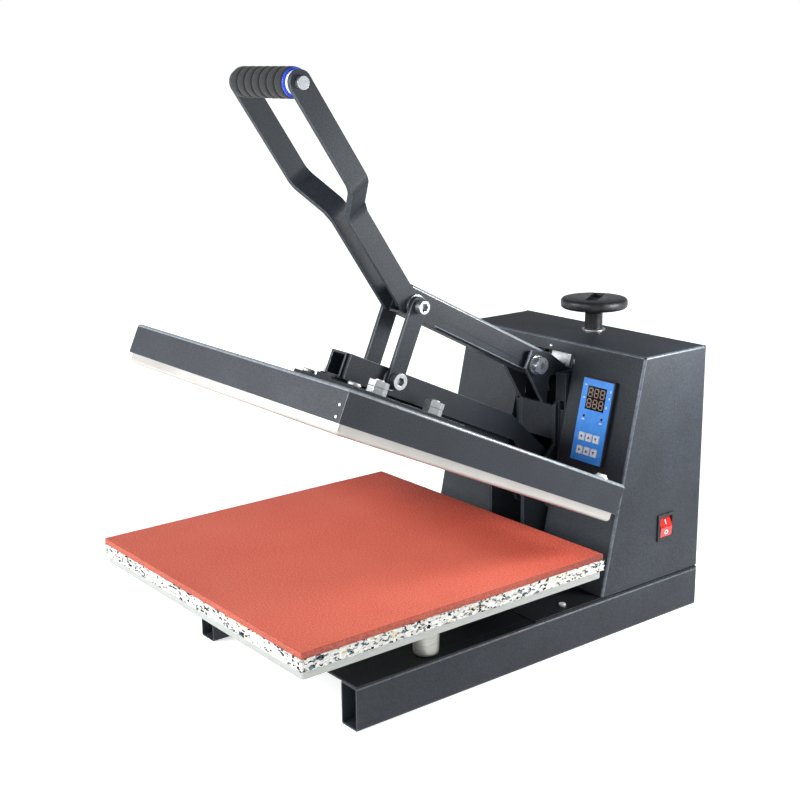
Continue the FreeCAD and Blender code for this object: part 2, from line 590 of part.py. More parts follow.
# The controller's cut-out lies square to the slope
window_tool = doc.addObject("Part::Box", "controller_cutout")
for part, expression in (("Length", f"2 * {case_half} + 0.4"), ("Width", f"2 * {case_half_up} + 0.4"),
                         ("Height", "8 * sheet_gauge"),
                         ("Placement.Base.x", f"controller_place - {case_half} - 0.2"),
                         ("Placement.Base.y", f"housing_foot + (controller_rise - {case_half_up} - 0.2) * "
                                              "sin(slope_angle) + 4 * sheet_gauge * cos(slope_angle)"),
                         ("Placement.Base.z", f"{deck_top} + (controller_rise - {case_half_up} - 0.2) * "
                                              "cos(slope_angle) - 4 * sheet_gauge * sin(slope_angle)")):
    window_tool.setExpression(part, bound(expression))
window_tool.Placement.Rotation = FreeCAD.Rotation(FreeCAD.Vector(1, 0, 0), value(slope_tilt))
window_tool.setExpression("Placement.Rotation.Angle", bound(slope_tilt))
folded_shell = shell
folded_shell.Label = "housing_blank"
shell = doc.addObject("Part::Cut", "housing_shell_cut")
shell.Base = folded_shell
shell.Tool = window_tool
shell.Label = "housing_shell"
doc.recompute()

# Back panel against the shell's rear edge, with vents and the mains inlet
inlet_up = f"({deck_top} + inlet_rise)"
panel_rear = f"({shell_rear} + sheet_gauge)"
panel = piece("back_panel")
slab(panel, "front", shell_rear, panel_rear,
     [box_run("-housing_width / 2", pan_top, "housing_width / 2", housing_top)])
vents = []
for row in range(int(value("vent_count"))):
    level = f"{housing_top} - vent_top - {row} * vent_pitch"
    for side in (1, -1):
        vents.append(mid_run("vent_length / 2", "vent_height / 2", f"{side} * vent_length * 0.7", level))
slab(panel, "front", shell_rear, panel_rear, vents, cut=True)
inlet_hole = mid_run("inlet_bore_width / 2 + 3", "inlet_bore_height / 2 + 3", "-inlet_place", inlet_up)
slab(panel, "front", shell_rear, panel_rear, [inlet_hole], cut=True)
slab(panel, "front", shell_rear, panel_rear,
     discs=[(x, z, "screw_shank + fit_gap") for x, z in back_screws], cut=True)

# Sheet screws: two in the floor pan, the others in the back panel
screws = piece("housing_screws")
slab(screws, "top", "rail_height - 4 * rail_wall", pan_top, discs=[(x, y, "screw_shank") for x, y in pan_screws])
slab(screws, "top", pan_top, f"{pan_top} + screw_head_height", discs=[(x, y, "screw_head") for x, y in pan_screws])
slab(screws, "front", f"{shell_rear} - 4 * sheet_gauge", panel_rear,
     discs=[(x, z, "screw_shank") for x, z in back_screws])
slab(screws, "front", panel_rear, f"{panel_rear} + screw_head_height",
     discs=[(x, z, "screw_head") for x, z in back_screws])

# Mains inlet: flange outside, socket that opens to the back, three blades
inlet = piece("mains_inlet")
slab(inlet, "front", panel_rear, f"{panel_rear} + 2 * sheet_gauge",
     [mid_run("inlet_width / 2", "inlet_height / 2", "-inlet_place", inlet_up)])
slab(inlet, "front", f"{panel_rear} - inlet_depth", panel_rear,
     [mid_run("inlet_bore_width / 2 + 2.5", "inlet_bore_height / 2 + 2.5", "-inlet_place", inlet_up)])
slab(inlet, "front", f"{panel_rear} - inlet_depth + 2.5", f"{panel_rear} + 2 * sheet_gauge",
     [mid_run("inlet_bore_width / 2", "inlet_bore_height / 2", "-inlet_place", inlet_up)], cut=True)
slab(inlet, "front", f"{panel_rear} - inlet_depth + 2.5", f"{panel_rear} - 2.5",
     [mid_run("1", "2", f"{step} * inlet_blade_pitch - inlet_place", f"{inlet_up} + {rise}")
      for step, rise in ((-1, -2), (0, 2), (1, -2))])

# Column: side plates with hinge cheeks below and flanges above
hinge_hole = [("hinge_across", "hinge_height", "hinge_radius + fit_gap")]
anchor_along = "(hinge_across + tail_reach * cos(open_angle) + tail_height * sin(open_angle))"
anchor_hole = [(anchor_along, "spring_foot", "tail_pin_radius + fit_gap")]
column_top = f"({pan_top} + column_height)"
column_shape = [
    ("column_front", pan_top),
    ("column_front", f"{deck_top} + column_cheek_top"),
    ("column_face", f"{deck_top} + column_face_foot"),
    ("column_face", f"{deck_top} + column_step"),
    ("column_face + column_step_depth", f"{deck_top} + column_step + column_step_depth"),
    ("column_face + column_step_depth", f"{deck_top} + flange_top"),
    ("top_plate_front", f"{deck_top} + flange_top"),
    ("top_plate_front", column_top),
    ("column_rear", column_top),
    ("column_rear", pan_top),
]
flange_rows = box_run("column_face + column_step_depth", f"{deck_top} + flange_foot",
                      "column_face + column_step_depth + flange_gauge", f"{deck_top} + flange_top")
for side, label in ((0, "column_plate_right"), (1, "column_plate_left")):
    plate = piece(label)
    low, high = both_sides("column_gap", column_outer)[side]
    slab(plate, "side", low, high, [column_shape])
    low, high = both_sides(column_outer, f"{column_outer} + flange_reach")[side]
    slab(plate, "side", low, high, [flange_rows])
    low, high = both_sides(f"{column_outer} + 1", f"{column_outer} + 1 + flange_hole")[side]
    slab(plate, "side", low, high,
         [box_run("column_face", f"{deck_top} + flange_hole_foot", "column_face + 20",
                  f"{deck_top} + flange_hole_foot + flange_hole_height")], cut=True)
    low, high = both_sides("column_gap", column_outer)[side]
    slab(plate, "side", low, high, discs=hinge_hole + anchor_hole, cut=True)

# Braces of the column: front web, rear web, plate on top, foot angles and the spring's lower pin
braces = piece("column_braces")
slab(braces, "front", "column_face", "column_face + column_gauge",
     [box_run("-column_gap", f"{deck_top} + web_foot", "column_gap", f"{deck_top} + web_foot + web_height")])
slab(braces, "front", "column_rear - column_gauge", "column_rear",
     [box_run("-column_gap", pan_top, "column_gap", column_top)])
slab(braces, "top", column_top, f"{column_top} + top_plate_height",
     [box_run(f"-{column_outer}", "top_plate_front", column_outer, "column_rear")])
slab(braces, "top", column_top, f"{column_top} + top_plate_height",
     discs=[("0", "knob_place", "screw_radius + fit_gap")], cut=True)
angle_front = f"({column_middle} - foot_angle_length / 2)"
angle_rear = f"({column_middle} + foot_angle_length / 2)"
for low, high in both_sides(column_outer, f"{column_outer} + foot_angle_gauge"):
    slab(braces, "side", low, high, [box_run(angle_front, pan_top, angle_rear, f"{pan_top} + foot_angle_leg")])
for low, high in both_sides(f"{column_outer} + foot_angle_gauge", f"{column_outer} + foot_angle_leg"):
    slab(braces, "side", low, high, [box_run(angle_front, pan_top, angle_rear, angle_top)])
slab(braces, "top", pan_top, angle_top,
     discs=[(x, y, "base_bolt_radius + fit_gap") for x, y in foot_bolts], cut=True)
slab(braces, "side", f"-{column_outer}", column_outer, discs=[(anchor_along, "spring_foot", "tail_pin_radius")])

# Guide pads between the column and the bracket
guides = piece("bracket_guides")
guide_foot = "(pivot_height - bracket_drop + 4)"
guide_front = "(pivot_across + bracket_heel + bracket_set + 3)"
for low, high in both_sides(f"{bracket_outer} + fit_gap", "column_gap"):
    slab(guides, "side", low, high,
         [box_run(guide_front, guide_foot, f"{guide_front} + guide_length", f"{guide_foot} + guide_height")])

# Platen hinge: a nut, two bushes beside the beam, and the bolt through all of them
hinge = dict(along="hinge_across", up="hinge_height")
bolt = piece("hinge_bolt", **hinge)
hinge_end = f"({column_outer} + hinge_head_height)"
slab(bolt, "side", f"-{hinge_end}", f"-{column_outer}", [hexagon("0", "0", "hinge_head_radius")])
for low, high in both_sides(f"{cheek_outer} + side_gap", "column_gap"):
    slab(bolt, "side", low, high, discs=[("0", "0", "bush_radius")])
slab(bolt, "side", f"-{hinge_end}", hinge_end, discs=[("0", "0", "hinge_radius + fit_gap")], cut=True)
slab(bolt, "side", f"-{hinge_end} - 2", column_outer, discs=[("0", "0", "hinge_radius")])
slab(bolt, "side", column_outer, hinge_end, [hexagon("0", "0", "hinge_head_radius")])

# Lift spring between the column's pin and the beam's tail
tail_up = "(hinge_height - tail_reach * sin(open_angle) + tail_height * cos(open_angle))"
spring = piece("lift_spring", along=anchor_along, up="spring_foot")
eye = "(tail_pin_radius + side_gap + spring_wire)"
body_low = f"{eye} - spring_wire / 2"
body_high = f"{tail_up} - spring_foot - ({eye}) + spring_wire / 2"
spin(spring, [("spring_radius - spring_wire", body_low), ("spring_radius", body_low), ("spring_radius", body_high),
              ("spring_radius - spring_wire", body_high)])
for middle in ("0", f"{tail_up} - spring_foot"):
    slab(spring, "side", "-spring_wire / 2", "spring_wire / 2", discs=[("0", middle, eye)])
for middle in ("0", f"{tail_up} - spring_foot"):
    slab(spring, "side", "-spring_wire / 2", "spring_wire / 2",
         discs=[("0", middle, f"{eye} - spring_wire")], cut=True)
for low, high in ((f"{body_low}", f"{body_low} + spring_wire"), (f"{body_high} - spring_wire", body_high)):
    slab(spring, "top", low, high, [mid_run("spring_wire / 2", "spring_radius - spring_wire / 2")])

# Upper platen, drawn closed about the hinge and turned open
swing = dict(along="hinge_across", up="hinge_height", tilt="-open_angle")
face = f"({pad_top} + press_gap - hinge_height)"
plate_top = f"({face} + plate_height)"
cover_top = f"({face} + cover_rise)"
cover_under = f"({cover_top} - cover_gauge)"
platen_middle = "(-cover_rear - cover_length / 2)"
seat_top = f"({cover_top} + seat_height)"
beam_foot = f"({cover_top} + beam_rise)"
beam_top = f"({beam_foot} + beam_height)"
beam_front = "(-cover_rear - beam_reach)"
studs = [(f"{side} * stud_spread", f"{platen_middle} + {end} * stud_pitch / 2")
         for side in (1, -1) for end in (1, -1)]


def heater_shape(grow):
    """The outline of the U-shaped heating element, made larger all round by a gap."""
    outer = f"(heater_reach + heater_width / 2 + {grow})"
    inner = f"(heater_reach - heater_width / 2 - {grow})"
    front = f"({platen_middle} - {outer})"
    back = f"({platen_middle} + {outer})"
    return [(f"-{outer}", back), (f"-{outer}", front), (outer, front), (outer, back), (inner, back),
            (inner, f"{platen_middle} - {inner}"), (f"-{inner}", f"{platen_middle} - {inner}"),
            (f"-{inner}", back)]


plate = piece("heat_plate", **swing)
slab(plate, "top", face, plate_top, [mid_run("plate_side / 2", "plate_side / 2", up=platen_middle)])
round_edges(plate, "plate_corner", lambda start, end: near(start.x, end.x) and near(start.y, end.y))
slab(plate, "top", f"{plate_top} - heater_depth", plate_top, [heater_shape("side_gap")], cut=True)
slab(plate, "top", f"{plate_top} - stud_bite", plate_top,
     discs=[(x, y, "stud_radius + fit_gap") for x, y in studs], cut=True)
heater = piece("heating_element", **swing)
slab(heater, "top", f"{plate_top} - heater_depth", f"{plate_top} - side_gap", [heater_shape("0")])
board = piece("insulation_board", **swing)
slab(board, "top", plate_top, f"{plate_top} + board_height",
     [mid_run("plate_side / 2 - board_inset", "plate_side / 2 - board_inset", up=platen_middle)])
slab(board, "top", plate_top, f"{plate_top} + board_height",
     discs=[(x, y, "spacer_radius + side_gap") for x, y in studs], cut=True)

cover = piece("platen_cover", **swing)
cover_foot = f"({cover_top} - cover_drop)"
slab(cover, "top", cover_foot, cover_top, [mid_run("cover_width / 2", "cover_length / 2", up=platen_middle)])
round_edges(cover, "cover_corner", lambda start, end: near(start.z, end.z) and near(start.z, value(cover_top)))
slab(cover, "top", cover_foot, cover_under,
     [mid_run("cover_width / 2 - cover_gauge", "cover_length / 2 - cover_gauge", up=platen_middle)], cut=True)
slab(cover, "top", cover_under, cover_top, discs=[(x, y, "stud_radius + side_gap") for x, y in studs], cut=True)

rivets = piece("cover_rivets", **swing)
cover_ends = (f"{platen_middle} - cover_length / 2", f"{platen_middle} + cover_length / 2")
rivet_levels = [f"{cover_top} - cover_drop * {share}" for share in (0.5, 0.84)]
rivet_across = "(cover_width / 2 - rivet_inset)"
slab(rivets, "front", f"{cover_ends[0]} - rivet_height", cover_ends[0],
     discs=[(rivet_across, z, "rivet_radius") for z in rivet_levels])
slab(rivets, "front", cover_ends[1], f"{cover_ends[1]} + rivet_height",
     discs=[(f"-{rivet_across}", z, "rivet_radius") for z in rivet_levels])

# Studs: each stands in the heat plate, with a spacer under the cover and two nuts above
rods = piece("platen_studs", **swing)
upper_nut = f"({seat_top} + nut_height + nut_seam)"
nuts_top = f"({upper_nut} + nut_height)"
slab(rods, "top", plate_top, cover_under, discs=[(x, y, "spacer_radius") for x, y in studs])
for foot in (seat_top, upper_nut):
    slab(rods, "top", foot, f"{foot} + nut_height", [hexagon(x, y, "nut_radius") for x, y in studs])
slab(rods, "top", plate_top, nuts_top, discs=[(x, y, "stud_radius + fit_gap") for x, y in studs], cut=True)
slab(rods, "top", f"{plate_top} - stud_bite + side_gap", f"{nuts_top} + stud_end",
     discs=[(x, y, "stud_radius") for x, y in studs])

# Mounting plate with the raised seat that carries the beam
seat = piece("mounting_plate", **swing)
slab(seat, "top", cover_top, seat_top, [mid_run("seat_width / 2", "seat_length / 2", up=platen_middle)])
slab(seat, "top", seat_top, beam_foot, [mid_run("beam_width / 2", "seat_length / 2", up=platen_middle)])
domes = [(f"{side} * stud_spread", f"{platen_middle} - stud_pitch / 2 - dome_lead") for side in (1, -1)]
slab(seat, "top", cover_top, seat_top,
     discs=[(x, y, "stud_radius + side_gap") for x, y in studs]
     + [(x, y, "dome_shank + fit_gap") for x, y in domes], cut=True)
screws = piece("plate_screws", **swing)
slab(screws, "top", cover_top, seat_top, discs=[(x, y, "dome_shank") for x, y in domes])
slab(screws, "top", seat_top, f"{seat_top} + dome_height", discs=[(x, y, "dome_radius") for x, y in domes])

beam = piece("beam_tube", **swing)
beam_mid = f"{beam_foot} + beam_height / 2"
slab(beam, "front", beam_front, "-cheek_shoulder",
     [mid_run("beam_width / 2", "beam_height / 2", up=beam_mid)])
slab(beam, "front", beam_front, "-cheek_shoulder",
     [mid_run("beam_width / 2 - beam_wall", "beam_height / 2 - beam_wall", up=beam_mid)], cut=True)

# Beam cheeks: straight over the cover, then down to the hinge and back to the spring pin
tail_round = "(tail_pin_radius + 7)"
lug_round = "(bush_radius + 6)"
shoulder_drop = f"({beam_top} - (cheek_shoulder - 1) / 3)"
cheek_shape = [
    (f"{beam_front} + beam_setback", beam_foot),
    ("-cover_rear + 5", beam_foot),
    (f"-{lug_round} * cos(20)", f"-{lug_round} * sin(20)"),
    (f"-{lug_round} * cos(65)", f"-{lug_round} * sin(65)"),
    (f"{lug_round} * cos(65)", f"-{lug_round} * sin(65)"),
    (f"tail_reach + {tail_round} * 0.6", f"tail_height - {tail_round} * 0.8"),
    (f"tail_reach + {tail_round}", "tail_height"),
    (f"tail_reach + {tail_round} * 0.6", f"tail_height + {tail_round} * 0.8"),
    ("-1", shoulder_drop),
    ("-cheek_shoulder", beam_top),
    (f"{beam_front} + beam_setback", beam_top),
]
cheeks = piece("beam_cheeks", **swing)
for low, high in both_sides("beam_width / 2", cheek_outer):
    slab(cheeks, "side", low, high, [cheek_shape])
slab(cheeks, "side", f"-{cheek_outer}", cheek_outer,
     discs=[("0", "0", "hinge_radius + fit_gap"), ("tail_reach", "tail_height", "tail_pin_radius + fit_gap")],
     cut=True)

# Between the cheeks: the hinge's sleeve and the pin that the lift spring hangs on
sleeve = piece("beam_cross_pins", **swing)
slab(sleeve, "side", "-beam_width / 2", "beam_width / 2", discs=[("0", "0", "bush_radius")])
slab(sleeve, "side", "-beam_width / 2", "beam_width / 2", discs=[("0", "0", "hinge_radius + fit_gap")], cut=True)
slab(sleeve, "side", f"-{cheek_outer}", cheek_outer, discs=[("tail_reach", "tail_height", "tail_pin_radius")])

# Pressure bracket: two cheeks that slope down behind the arm's end, and a rear part under a level web
carry = dict(along="pivot_across", up="pivot_height")
rear_foot = "(bracket_heel + bracket_set)"
rear_top = f"({rear_foot} + bracket_lean)"
bracket_shape = [
    ("-bracket_nose", "-2"),
    ("-bracket_peak", "bracket_crown"),
    ("bracket_brow", "bracket_brow_rise"),
    ("bracket_heel", "-bracket_heel_drop"),
    (rear_foot, "-bracket_heel_drop"),
    (rear_top, "bracket_roof"),
    ("bracket_rear", "bracket_roof"),
    ("bracket_rear", "-bracket_drop"),
    (rear_foot, "-bracket_drop"),
    ("bracket_heel - 3", "-bracket_belly"),
    ("bracket_brow + 2", "-bracket_belly"),
    ("bracket_leg + bracket_toe", "-bracket_drop"),
    ("bracket_leg", "-bracket_drop"),
]
web_shape = box_run(f"{rear_top} + bracket_gauge", "bracket_roof - bracket_gauge", "bracket_rear", "bracket_roof")
bracket = piece("pressure_bracket", **carry)
slab(bracket, "side", f"-{bracket_outer}", bracket_outer, [web_shape])
for low, high in both_sides("bracket_inner", bracket_outer):
    slab(bracket, "side", low, high, [bracket_shape])
for low, high in both_sides("bracket_inner", bracket_outer):
    slab(bracket, "side", low, high, discs=[("0", "0", "pivot_radius + fit_gap")], cut=True)
screw_local = "(knob_place - pivot_across)"
slab(bracket, "top", "bracket_roof - 2 * bracket_gauge", "bracket_roof + 1",
     discs=[("0", screw_local, "screw_radius + fit_gap")], cut=True)

# Stiffener between the cheeks, at the front of their rear part and with the same lean
stiffener_foot = "(-bracket_heel_drop - stiffener_drop)"
stiffener_front = f"({rear_foot} - stiffener_drop * bracket_lean / (bracket_heel_drop + bracket_roof))"
stiffener_shape = [
    (stiffener_front, stiffener_foot),
    (rear_top, "bracket_roof"),
    (f"{rear_top} + bracket_gauge", "bracket_roof"),
    (f"{stiffener_front} + bracket_gauge", stiffener_foot),
]
stiffener = piece("bracket_stiffener", **carry)
slab(stiffener, "side", "-bracket_inner", "bracket_inner", [stiffener_shape])

# Arm pivot: a nut and a washer, then the bolt with its hexagon socket
bolt = piece("arm_pivot_bolt", **carry)
pivot_end = f"({bracket_outer} + pivot_head_height)"
pivot_head = f"({bracket_outer} + pivot_washer)"
slab(bolt, "side", f"-{pivot_end}", f"-{bracket_outer}", [hexagon("0", "0", "pivot_head_radius + 1.5")])
slab(bolt, "side", bracket_outer, pivot_head, discs=[("0", "0", "pivot_head_radius + 1.5")])
slab(bolt, "side", f"-{pivot_end}", pivot_head, discs=[("0", "0", "pivot_radius + fit_gap")], cut=True)
slab(bolt, "side", f"-{pivot_end} - 2", pivot_head, discs=[("0", "0", "pivot_radius")])
slab(bolt, "side", pivot_head, f"{pivot_head} + pivot_head_height", discs=[("0", "0", "pivot_head_radius")])
slab(bolt, "side", f"{pivot_head} + pivot_head_height - socket_depth", f"{pivot_head} + pivot_head_height",
     [hexagon("0", "0", "socket_radius")], cut=True)

# Pressure screw: threaded through the column's top plate, with a collar on each side of the bracket's web
screw = piece("pressure_screw", along="knob_place")
web_top = "(pivot_height + bracket_roof)"
knob_foot = f"({housing_top} + knob_rise)"
upper_collar = f"({web_top} + side_gap)"
lower_collar = f"({web_top} - bracket_gauge - side_gap - screw_collar_height)"
slab(screw, "top", f"{lower_collar} - screw_tail", f"{knob_foot} + knob_bite - side_gap",
     discs=[("0", "0", "screw_radius")])
for foot in (upper_collar, lower_collar):
    slab(screw, "top", foot, f"{foot} + screw_collar_height", discs=[("0", "0", "screw_collar_radius")])
knob = piece("pressure_knob", along="knob_place", up=knob_foot)
washer_top = f"({housing_top} + knob_washer_height)"
neck_foot = f"({washer_top} + side_gap - {knob_foot})"
low_round = [(f"knob_radius - knob_round * (1 - sin({turn}))", f"knob_round * (1 - cos({turn}))")
             for turn in (0, 30, 60, 90)]
top_round = [(f"knob_radius - knob_round * (1 - cos({turn}))", f"knob_height - knob_round * (1 - sin({turn}))")
             for turn in (0, 30, 60, 90)]
spin(knob, [("0", neck_foot), ("neck_radius", neck_foot), ("neck_radius", "-neck_flare"),
            ("neck_radius + neck_flare", "0")] + low_round + top_round + [("0", "knob_height")])
slab(knob, "top", neck_foot, "knob_bite", discs=[("0", "0", "screw_radius + fit_gap")], cut=True)
recess_far = "(knob_radius - recess_rim)"
recess = []
for reach, half in (("-recess_near", "-recess_width / 2"), (recess_far, "-recess_width / 2"),
                    (recess_far, "recess_width / 2"), ("-recess_near", "recess_width / 2")):
    recess.append((f"({reach}) * cos(recess_angle) - ({half}) * sin(recess_angle)",
                   f"({reach}) * sin(recess_angle) + ({half}) * cos(recess_angle)"))
slab(knob, "top", "knob_height - recess_depth", "knob_height", [recess], cut=True)
washer = piece("knob_washer", along="knob_place", up=housing_top)
slab(washer, "top", "0", "knob_washer_height", discs=[("0", "0", "knob_washer_radius")])
slab(washer, "top", "0", "knob_washer_height", discs=[("0", "0", "screw_radius + 1")], cut=True)

# Lever: arm tube with a sleeve across its rear end, drawn level about its pivot and turned up
lift = dict(along="pivot_across", up="pivot_height", tilt="-arm_angle")
arm = piece("arm_tube", **lift)
arm_front = "(-arm_reach - arm_tip)"
slab(arm, "front", arm_front, "arm_tail", [mid_run("arm_width / 2", "arm_depth / 2", up="arm_offset")])
round_edges(arm, "arm_corner", lambda start, end: near(start.x, end.x) and near(start.z, end.z))
slab(arm, "front", arm_front, "arm_tail",
     [mid_run("arm_width / 2 - arm_wall", "arm_depth / 2 - arm_wall", up="arm_offset")], cut=True)
slab(arm, "side", "side_gap - bracket_inner", "bracket_inner - side_gap", discs=[("0", "0", "bush_radius")])
slab(arm, "side", "side_gap - bracket_inner", "bracket_inner - side_gap",
     discs=[("0", "0", "pivot_radius + fit_gap"), ("-arm_reach", "0", "link_bolt_radius + fit_gap")], cut=True)

# Handle bars, drawn upright about the upper link bolt: side view, then the fork from the front
bolt_along = "(pivot_across - arm_reach * cos(arm_angle))"
bolt_up = "(pivot_height + arm_reach * sin(arm_angle))"
handle_tilt = "90 - arm_angle - handle_angle"
raised = dict(along=bolt_along, up=bolt_up, tilt=handle_tilt)
bar_front = "(-bar_offset - bar_width / 2)"
bar_back = "(bar_width / 2 - bar_offset)"
cut_low = "(arm_offset - arm_depth / 2)"
cut_turn = "(90 - handle_angle)"
bar_shape = [
    (bar_front, f"({cut_low} - {bar_front} * sin({cut_turn})) / cos({cut_turn})"),
    (bar_back, f"({cut_low} - {bar_back} * sin({cut_turn})) / cos({cut_turn})"),
    (bar_back, "handle_reach"),
    (bar_front, "handle_reach"),
]


def fork_shape(side):
    """The bent bar seen from the front: straight, jogged out, straight again."""
    inner, outer = f"{side} * arm_width / 2", f"{side} * {bar_outer}"
    wide_in, wide_out = f"{side} * (fork_half - bar_gauge)", f"{side} * fork_half"
    bend = "bar_gauge * 0.4"
    return [(inner, "-100"), (outer, "-100"), (outer, f"jog_foot - {bend}"),
            (wide_out, f"jog_foot + jog_length - {bend}"), (wide_out, "handle_reach + 50"),
            (wide_in, "handle_reach + 50"), (wide_in, f"jog_foot + jog_length + {bend}"),
            (inner, f"jog_foot + {bend}")]


for side, label in ((1, "handle_bar_right"), (-1, "handle_bar_left")):
    outline = piece(f"{label}_outline", **raised)
    low, high = ("0", "fork_half + 10") if side > 0 else ("-(fork_half + 10)", "0")
    slab(outline, "side", low, high, [bar_shape])
    slab(outline, "side", low, high, discs=[("-bar_offset", "handle_reach", "bar_width / 2")])
    slab(outline, "side", low, high, discs=[("0", "0", "link_bolt_radius + fit_gap"),
                                            ("-bar_offset", "handle_reach", "grip_bolt_radius + fit_gap")], cut=True)
    strip = piece(f"{label}_strip", **raised)
    slab(strip, "front", "-40", "40", [fork_shape(side)])
    bar = doc.addObject("Part::Common", f"{label}_common")
    bar.Base = outline
    bar.Tool = strip
    bar.Label = label
    doc.recompute()

# Grip: rod between the bars with a bolt in each end, ribbed foam, collar and ring at the right
grip = dict(across="0",
            along=f"{bolt_along} - handle_reach * cos(arm_angle + handle_angle) - "
                  "bar_offset * sin(arm_angle + handle_angle)",
            up=f"{bolt_up} + handle_reach * sin(arm_angle + handle_angle) - "
               "bar_offset * cos(arm_angle + handle_angle)")
bar_inner = "(fork_half - bar_gauge)"
ring_start = f"({bar_inner} - ring_width)"
collar_start = f"({ring_start} - collar_width)"
rod = piece("grip_rod", **grip)
slab(rod, "side", f"-{bar_inner}", bar_inner, discs=[("0", "0", "grip_rod_radius")])
for low, high in both_sides(f"{bar_inner} - grip_bolt_bite", bar_inner):
    slab(rod, "side", low, high, discs=[("0", "0", "grip_bolt_radius + fit_gap")], cut=True)
for low, high in both_sides(f"{bar_inner} - grip_bolt_bite + side_gap", "fork_half"):
    slab(rod, "side", low, high, discs=[("0", "0", "grip_bolt_radius")])
for low, high in both_sides("fork_half", "fork_half + grip_head_height"):
    slab(rod, "side", low, high, discs=[("0", "0", "grip_head_radius")])
foam_ends = (f"(side_gap - {bar_inner})", collar_start)
rib = f"(({foam_ends[1]} - {foam_ends[0]}) / grip_ribs)"
grip_bore = "(grip_rod_radius + side_gap)"
profile = [(foam_ends[0], grip_bore), (foam_ends[0], "grip_radius - 2 * grip_groove")]
for turn in range(int(value("grip_ribs"))):
    start = f"{foam_ends[0]} + {turn} * {rib}"
    profile.append((f"{start} + {rib} * 0.12", "grip_radius - grip_groove * 0.4"))
    profile.append((f"{start} + {rib} * 0.3", "grip_radius"))
    profile.append((f"{start} + {rib} * 0.7", "grip_radius"))
    profile.append((f"{start} + {rib} * 0.88", "grip_radius - grip_groove * 0.4"))
    profile.append((f"{start} + {rib}", "grip_radius - grip_groove"))
profile.append((foam_ends[1], grip_bore))
handle_foam = piece("grip_foam", **grip)
spin(handle_foam, profile, up_axis=False)
collar = piece("grip_collar", **grip)
slab(collar, "side", collar_start, ring_start, discs=[("0", "0", "collar_radius")])
slab(collar, "side", collar_start, ring_start, discs=[("0", "0", grip_bore)], cut=True)
ring = piece("grip_end_ring", **grip)
slab(ring, "side", ring_start, bar_inner, discs=[("0", "0", "ring_radius")])
slab(ring, "side", ring_start, bar_inner, discs=[("0", "0", grip_bore)], cut=True)

# Upper link bolt: a nut, washers beside the handle bars, then the bolt
upper = dict(along=bolt_along, up=bolt_up)
link_inner = f"({bar_outer} + link_washer_height + side_gap)"
link_outer = f"({link_inner} + link_gauge)"
head_start = f"({link_outer} + side_gap)"
head_end = f"({head_start} + link_head_height)"
bolt = piece("upper_link_bolt", **upper)
slab(bolt, "side", f"-{head_end}", f"-{head_start}", [hexagon("0", "0", "link_head_radius + 1")])
for low, high in both_sides(bar_outer, f"{bar_outer} + link_washer_height"):
    slab(bolt, "side", low, high, discs=[("0", "0", "link_washer_radius")])
slab(bolt, "side", f"-{head_end}", head_end, discs=[("0", "0", "link_bolt_radius + fit_gap")], cut=True)
slab(bolt, "side", f"-{head_end} - 1.5", head_start, discs=[("0", "0", "link_bolt_radius")])
slab(bolt, "side", head_start, head_end, discs=[("0", "0", "link_head_radius")])
slab(bolt, "side", f"{head_end} - socket_depth", head_end, [hexagon("0", "0", "socket_radius")], cut=True)

# Links: their length and lean follow from the two bolts that they join
seat_along = "(hinge_across - link_seat * cos(open_angle) + link_seat_height * sin(open_angle))"
seat_up = "(hinge_height + link_seat * sin(open_angle) + link_seat_height * cos(open_angle))"
link_length = f"sqrt(({bolt_along} - {seat_along})^2 + ({bolt_up} - {seat_up})^2)"
link_lean = f"atan2({bolt_along} - {seat_along}; {bolt_up} - {seat_up}) / 1deg"
hang = dict(along=bolt_along, up=bolt_up, tilt=f"-({link_lean})")
lower = ("0", f"-{link_length}")
links = piece("toggle_links", **hang)
for low, high in both_sides(link_inner, link_outer):
    slab(links, "side", low, high, [box_run("-link_width / 2", lower[1], "link_width / 2", "0")])
    slab(links, "side", low, high, discs=[("0", "0", "link_width / 2"), (*lower, "link_width / 2")])
slab(links, "side", f"-{link_outer}", link_outer,
     discs=[("0", "0", "link_bolt_radius + fit_gap"), (*lower, "link_bolt_radius + fit_gap")], cut=True)
bolts = piece("lower_link_bolts", **hang)
for low, high in both_sides(f"{cheek_outer} + side_gap", link_inner):
    slab(bolts, "side", low, high, discs=[(*lower, "link_washer_radius")])
slab(bolts, "side", f"-{link_inner}", link_inner, discs=[(*lower, "link_bolt_radius + fit_gap")], cut=True)
for low, high in both_sides(f"{cheek_outer} + side_gap", link_outer):
    slab(bolts, "side", low, high, discs=[(*lower, "link_bolt_radius")])
for low, high in both_sides(link_outer, f"{link_outer} + link_head_height"):
    slab(bolts, "side", low, high, discs=[(*lower, "lower_head_radius")])
for low, high in both_sides(f"{link_outer} + link_head_height - socket_depth", f"{link_outer} + link_head_height"):
    slab(bolts, "side", low, high, [hexagon(*lower, "socket_radius")], cut=True)

# Controller on the slope: case with its bezel, blue face, window, lamps and keys
case_mid = ("controller_place", "controller_rise")
face_half = "(controller_width / 2 - controller_rim)"
face_half_up = "(controller_height / 2 - controller_rim)"
face_back = "controller_proud"
face_front = "(controller_proud + face_gauge)"
window_mid = ("controller_place", f"controller_rise + {face_half_up} - window_drop")
lamps = [(f"controller_place + {side} * lamp_spread", f"controller_rise + {face_half_up} - lamp_drop", "lamp_radius")
         for side in (1, -1)]
keys = [(f"controller_place + {column} * key_pitch",
         f"controller_rise - {face_half_up} + key_foot + {row} * key_row_pitch")
        for row in (1, 0) for column in (-1, 0, 1)]
key_sink = "(controller_proud - key_travel - 2.4)"
key_wells = [mid_run("key_width / 2 + 0.25", "key_height / 2 + 0.25", x, s) for x, s in keys]

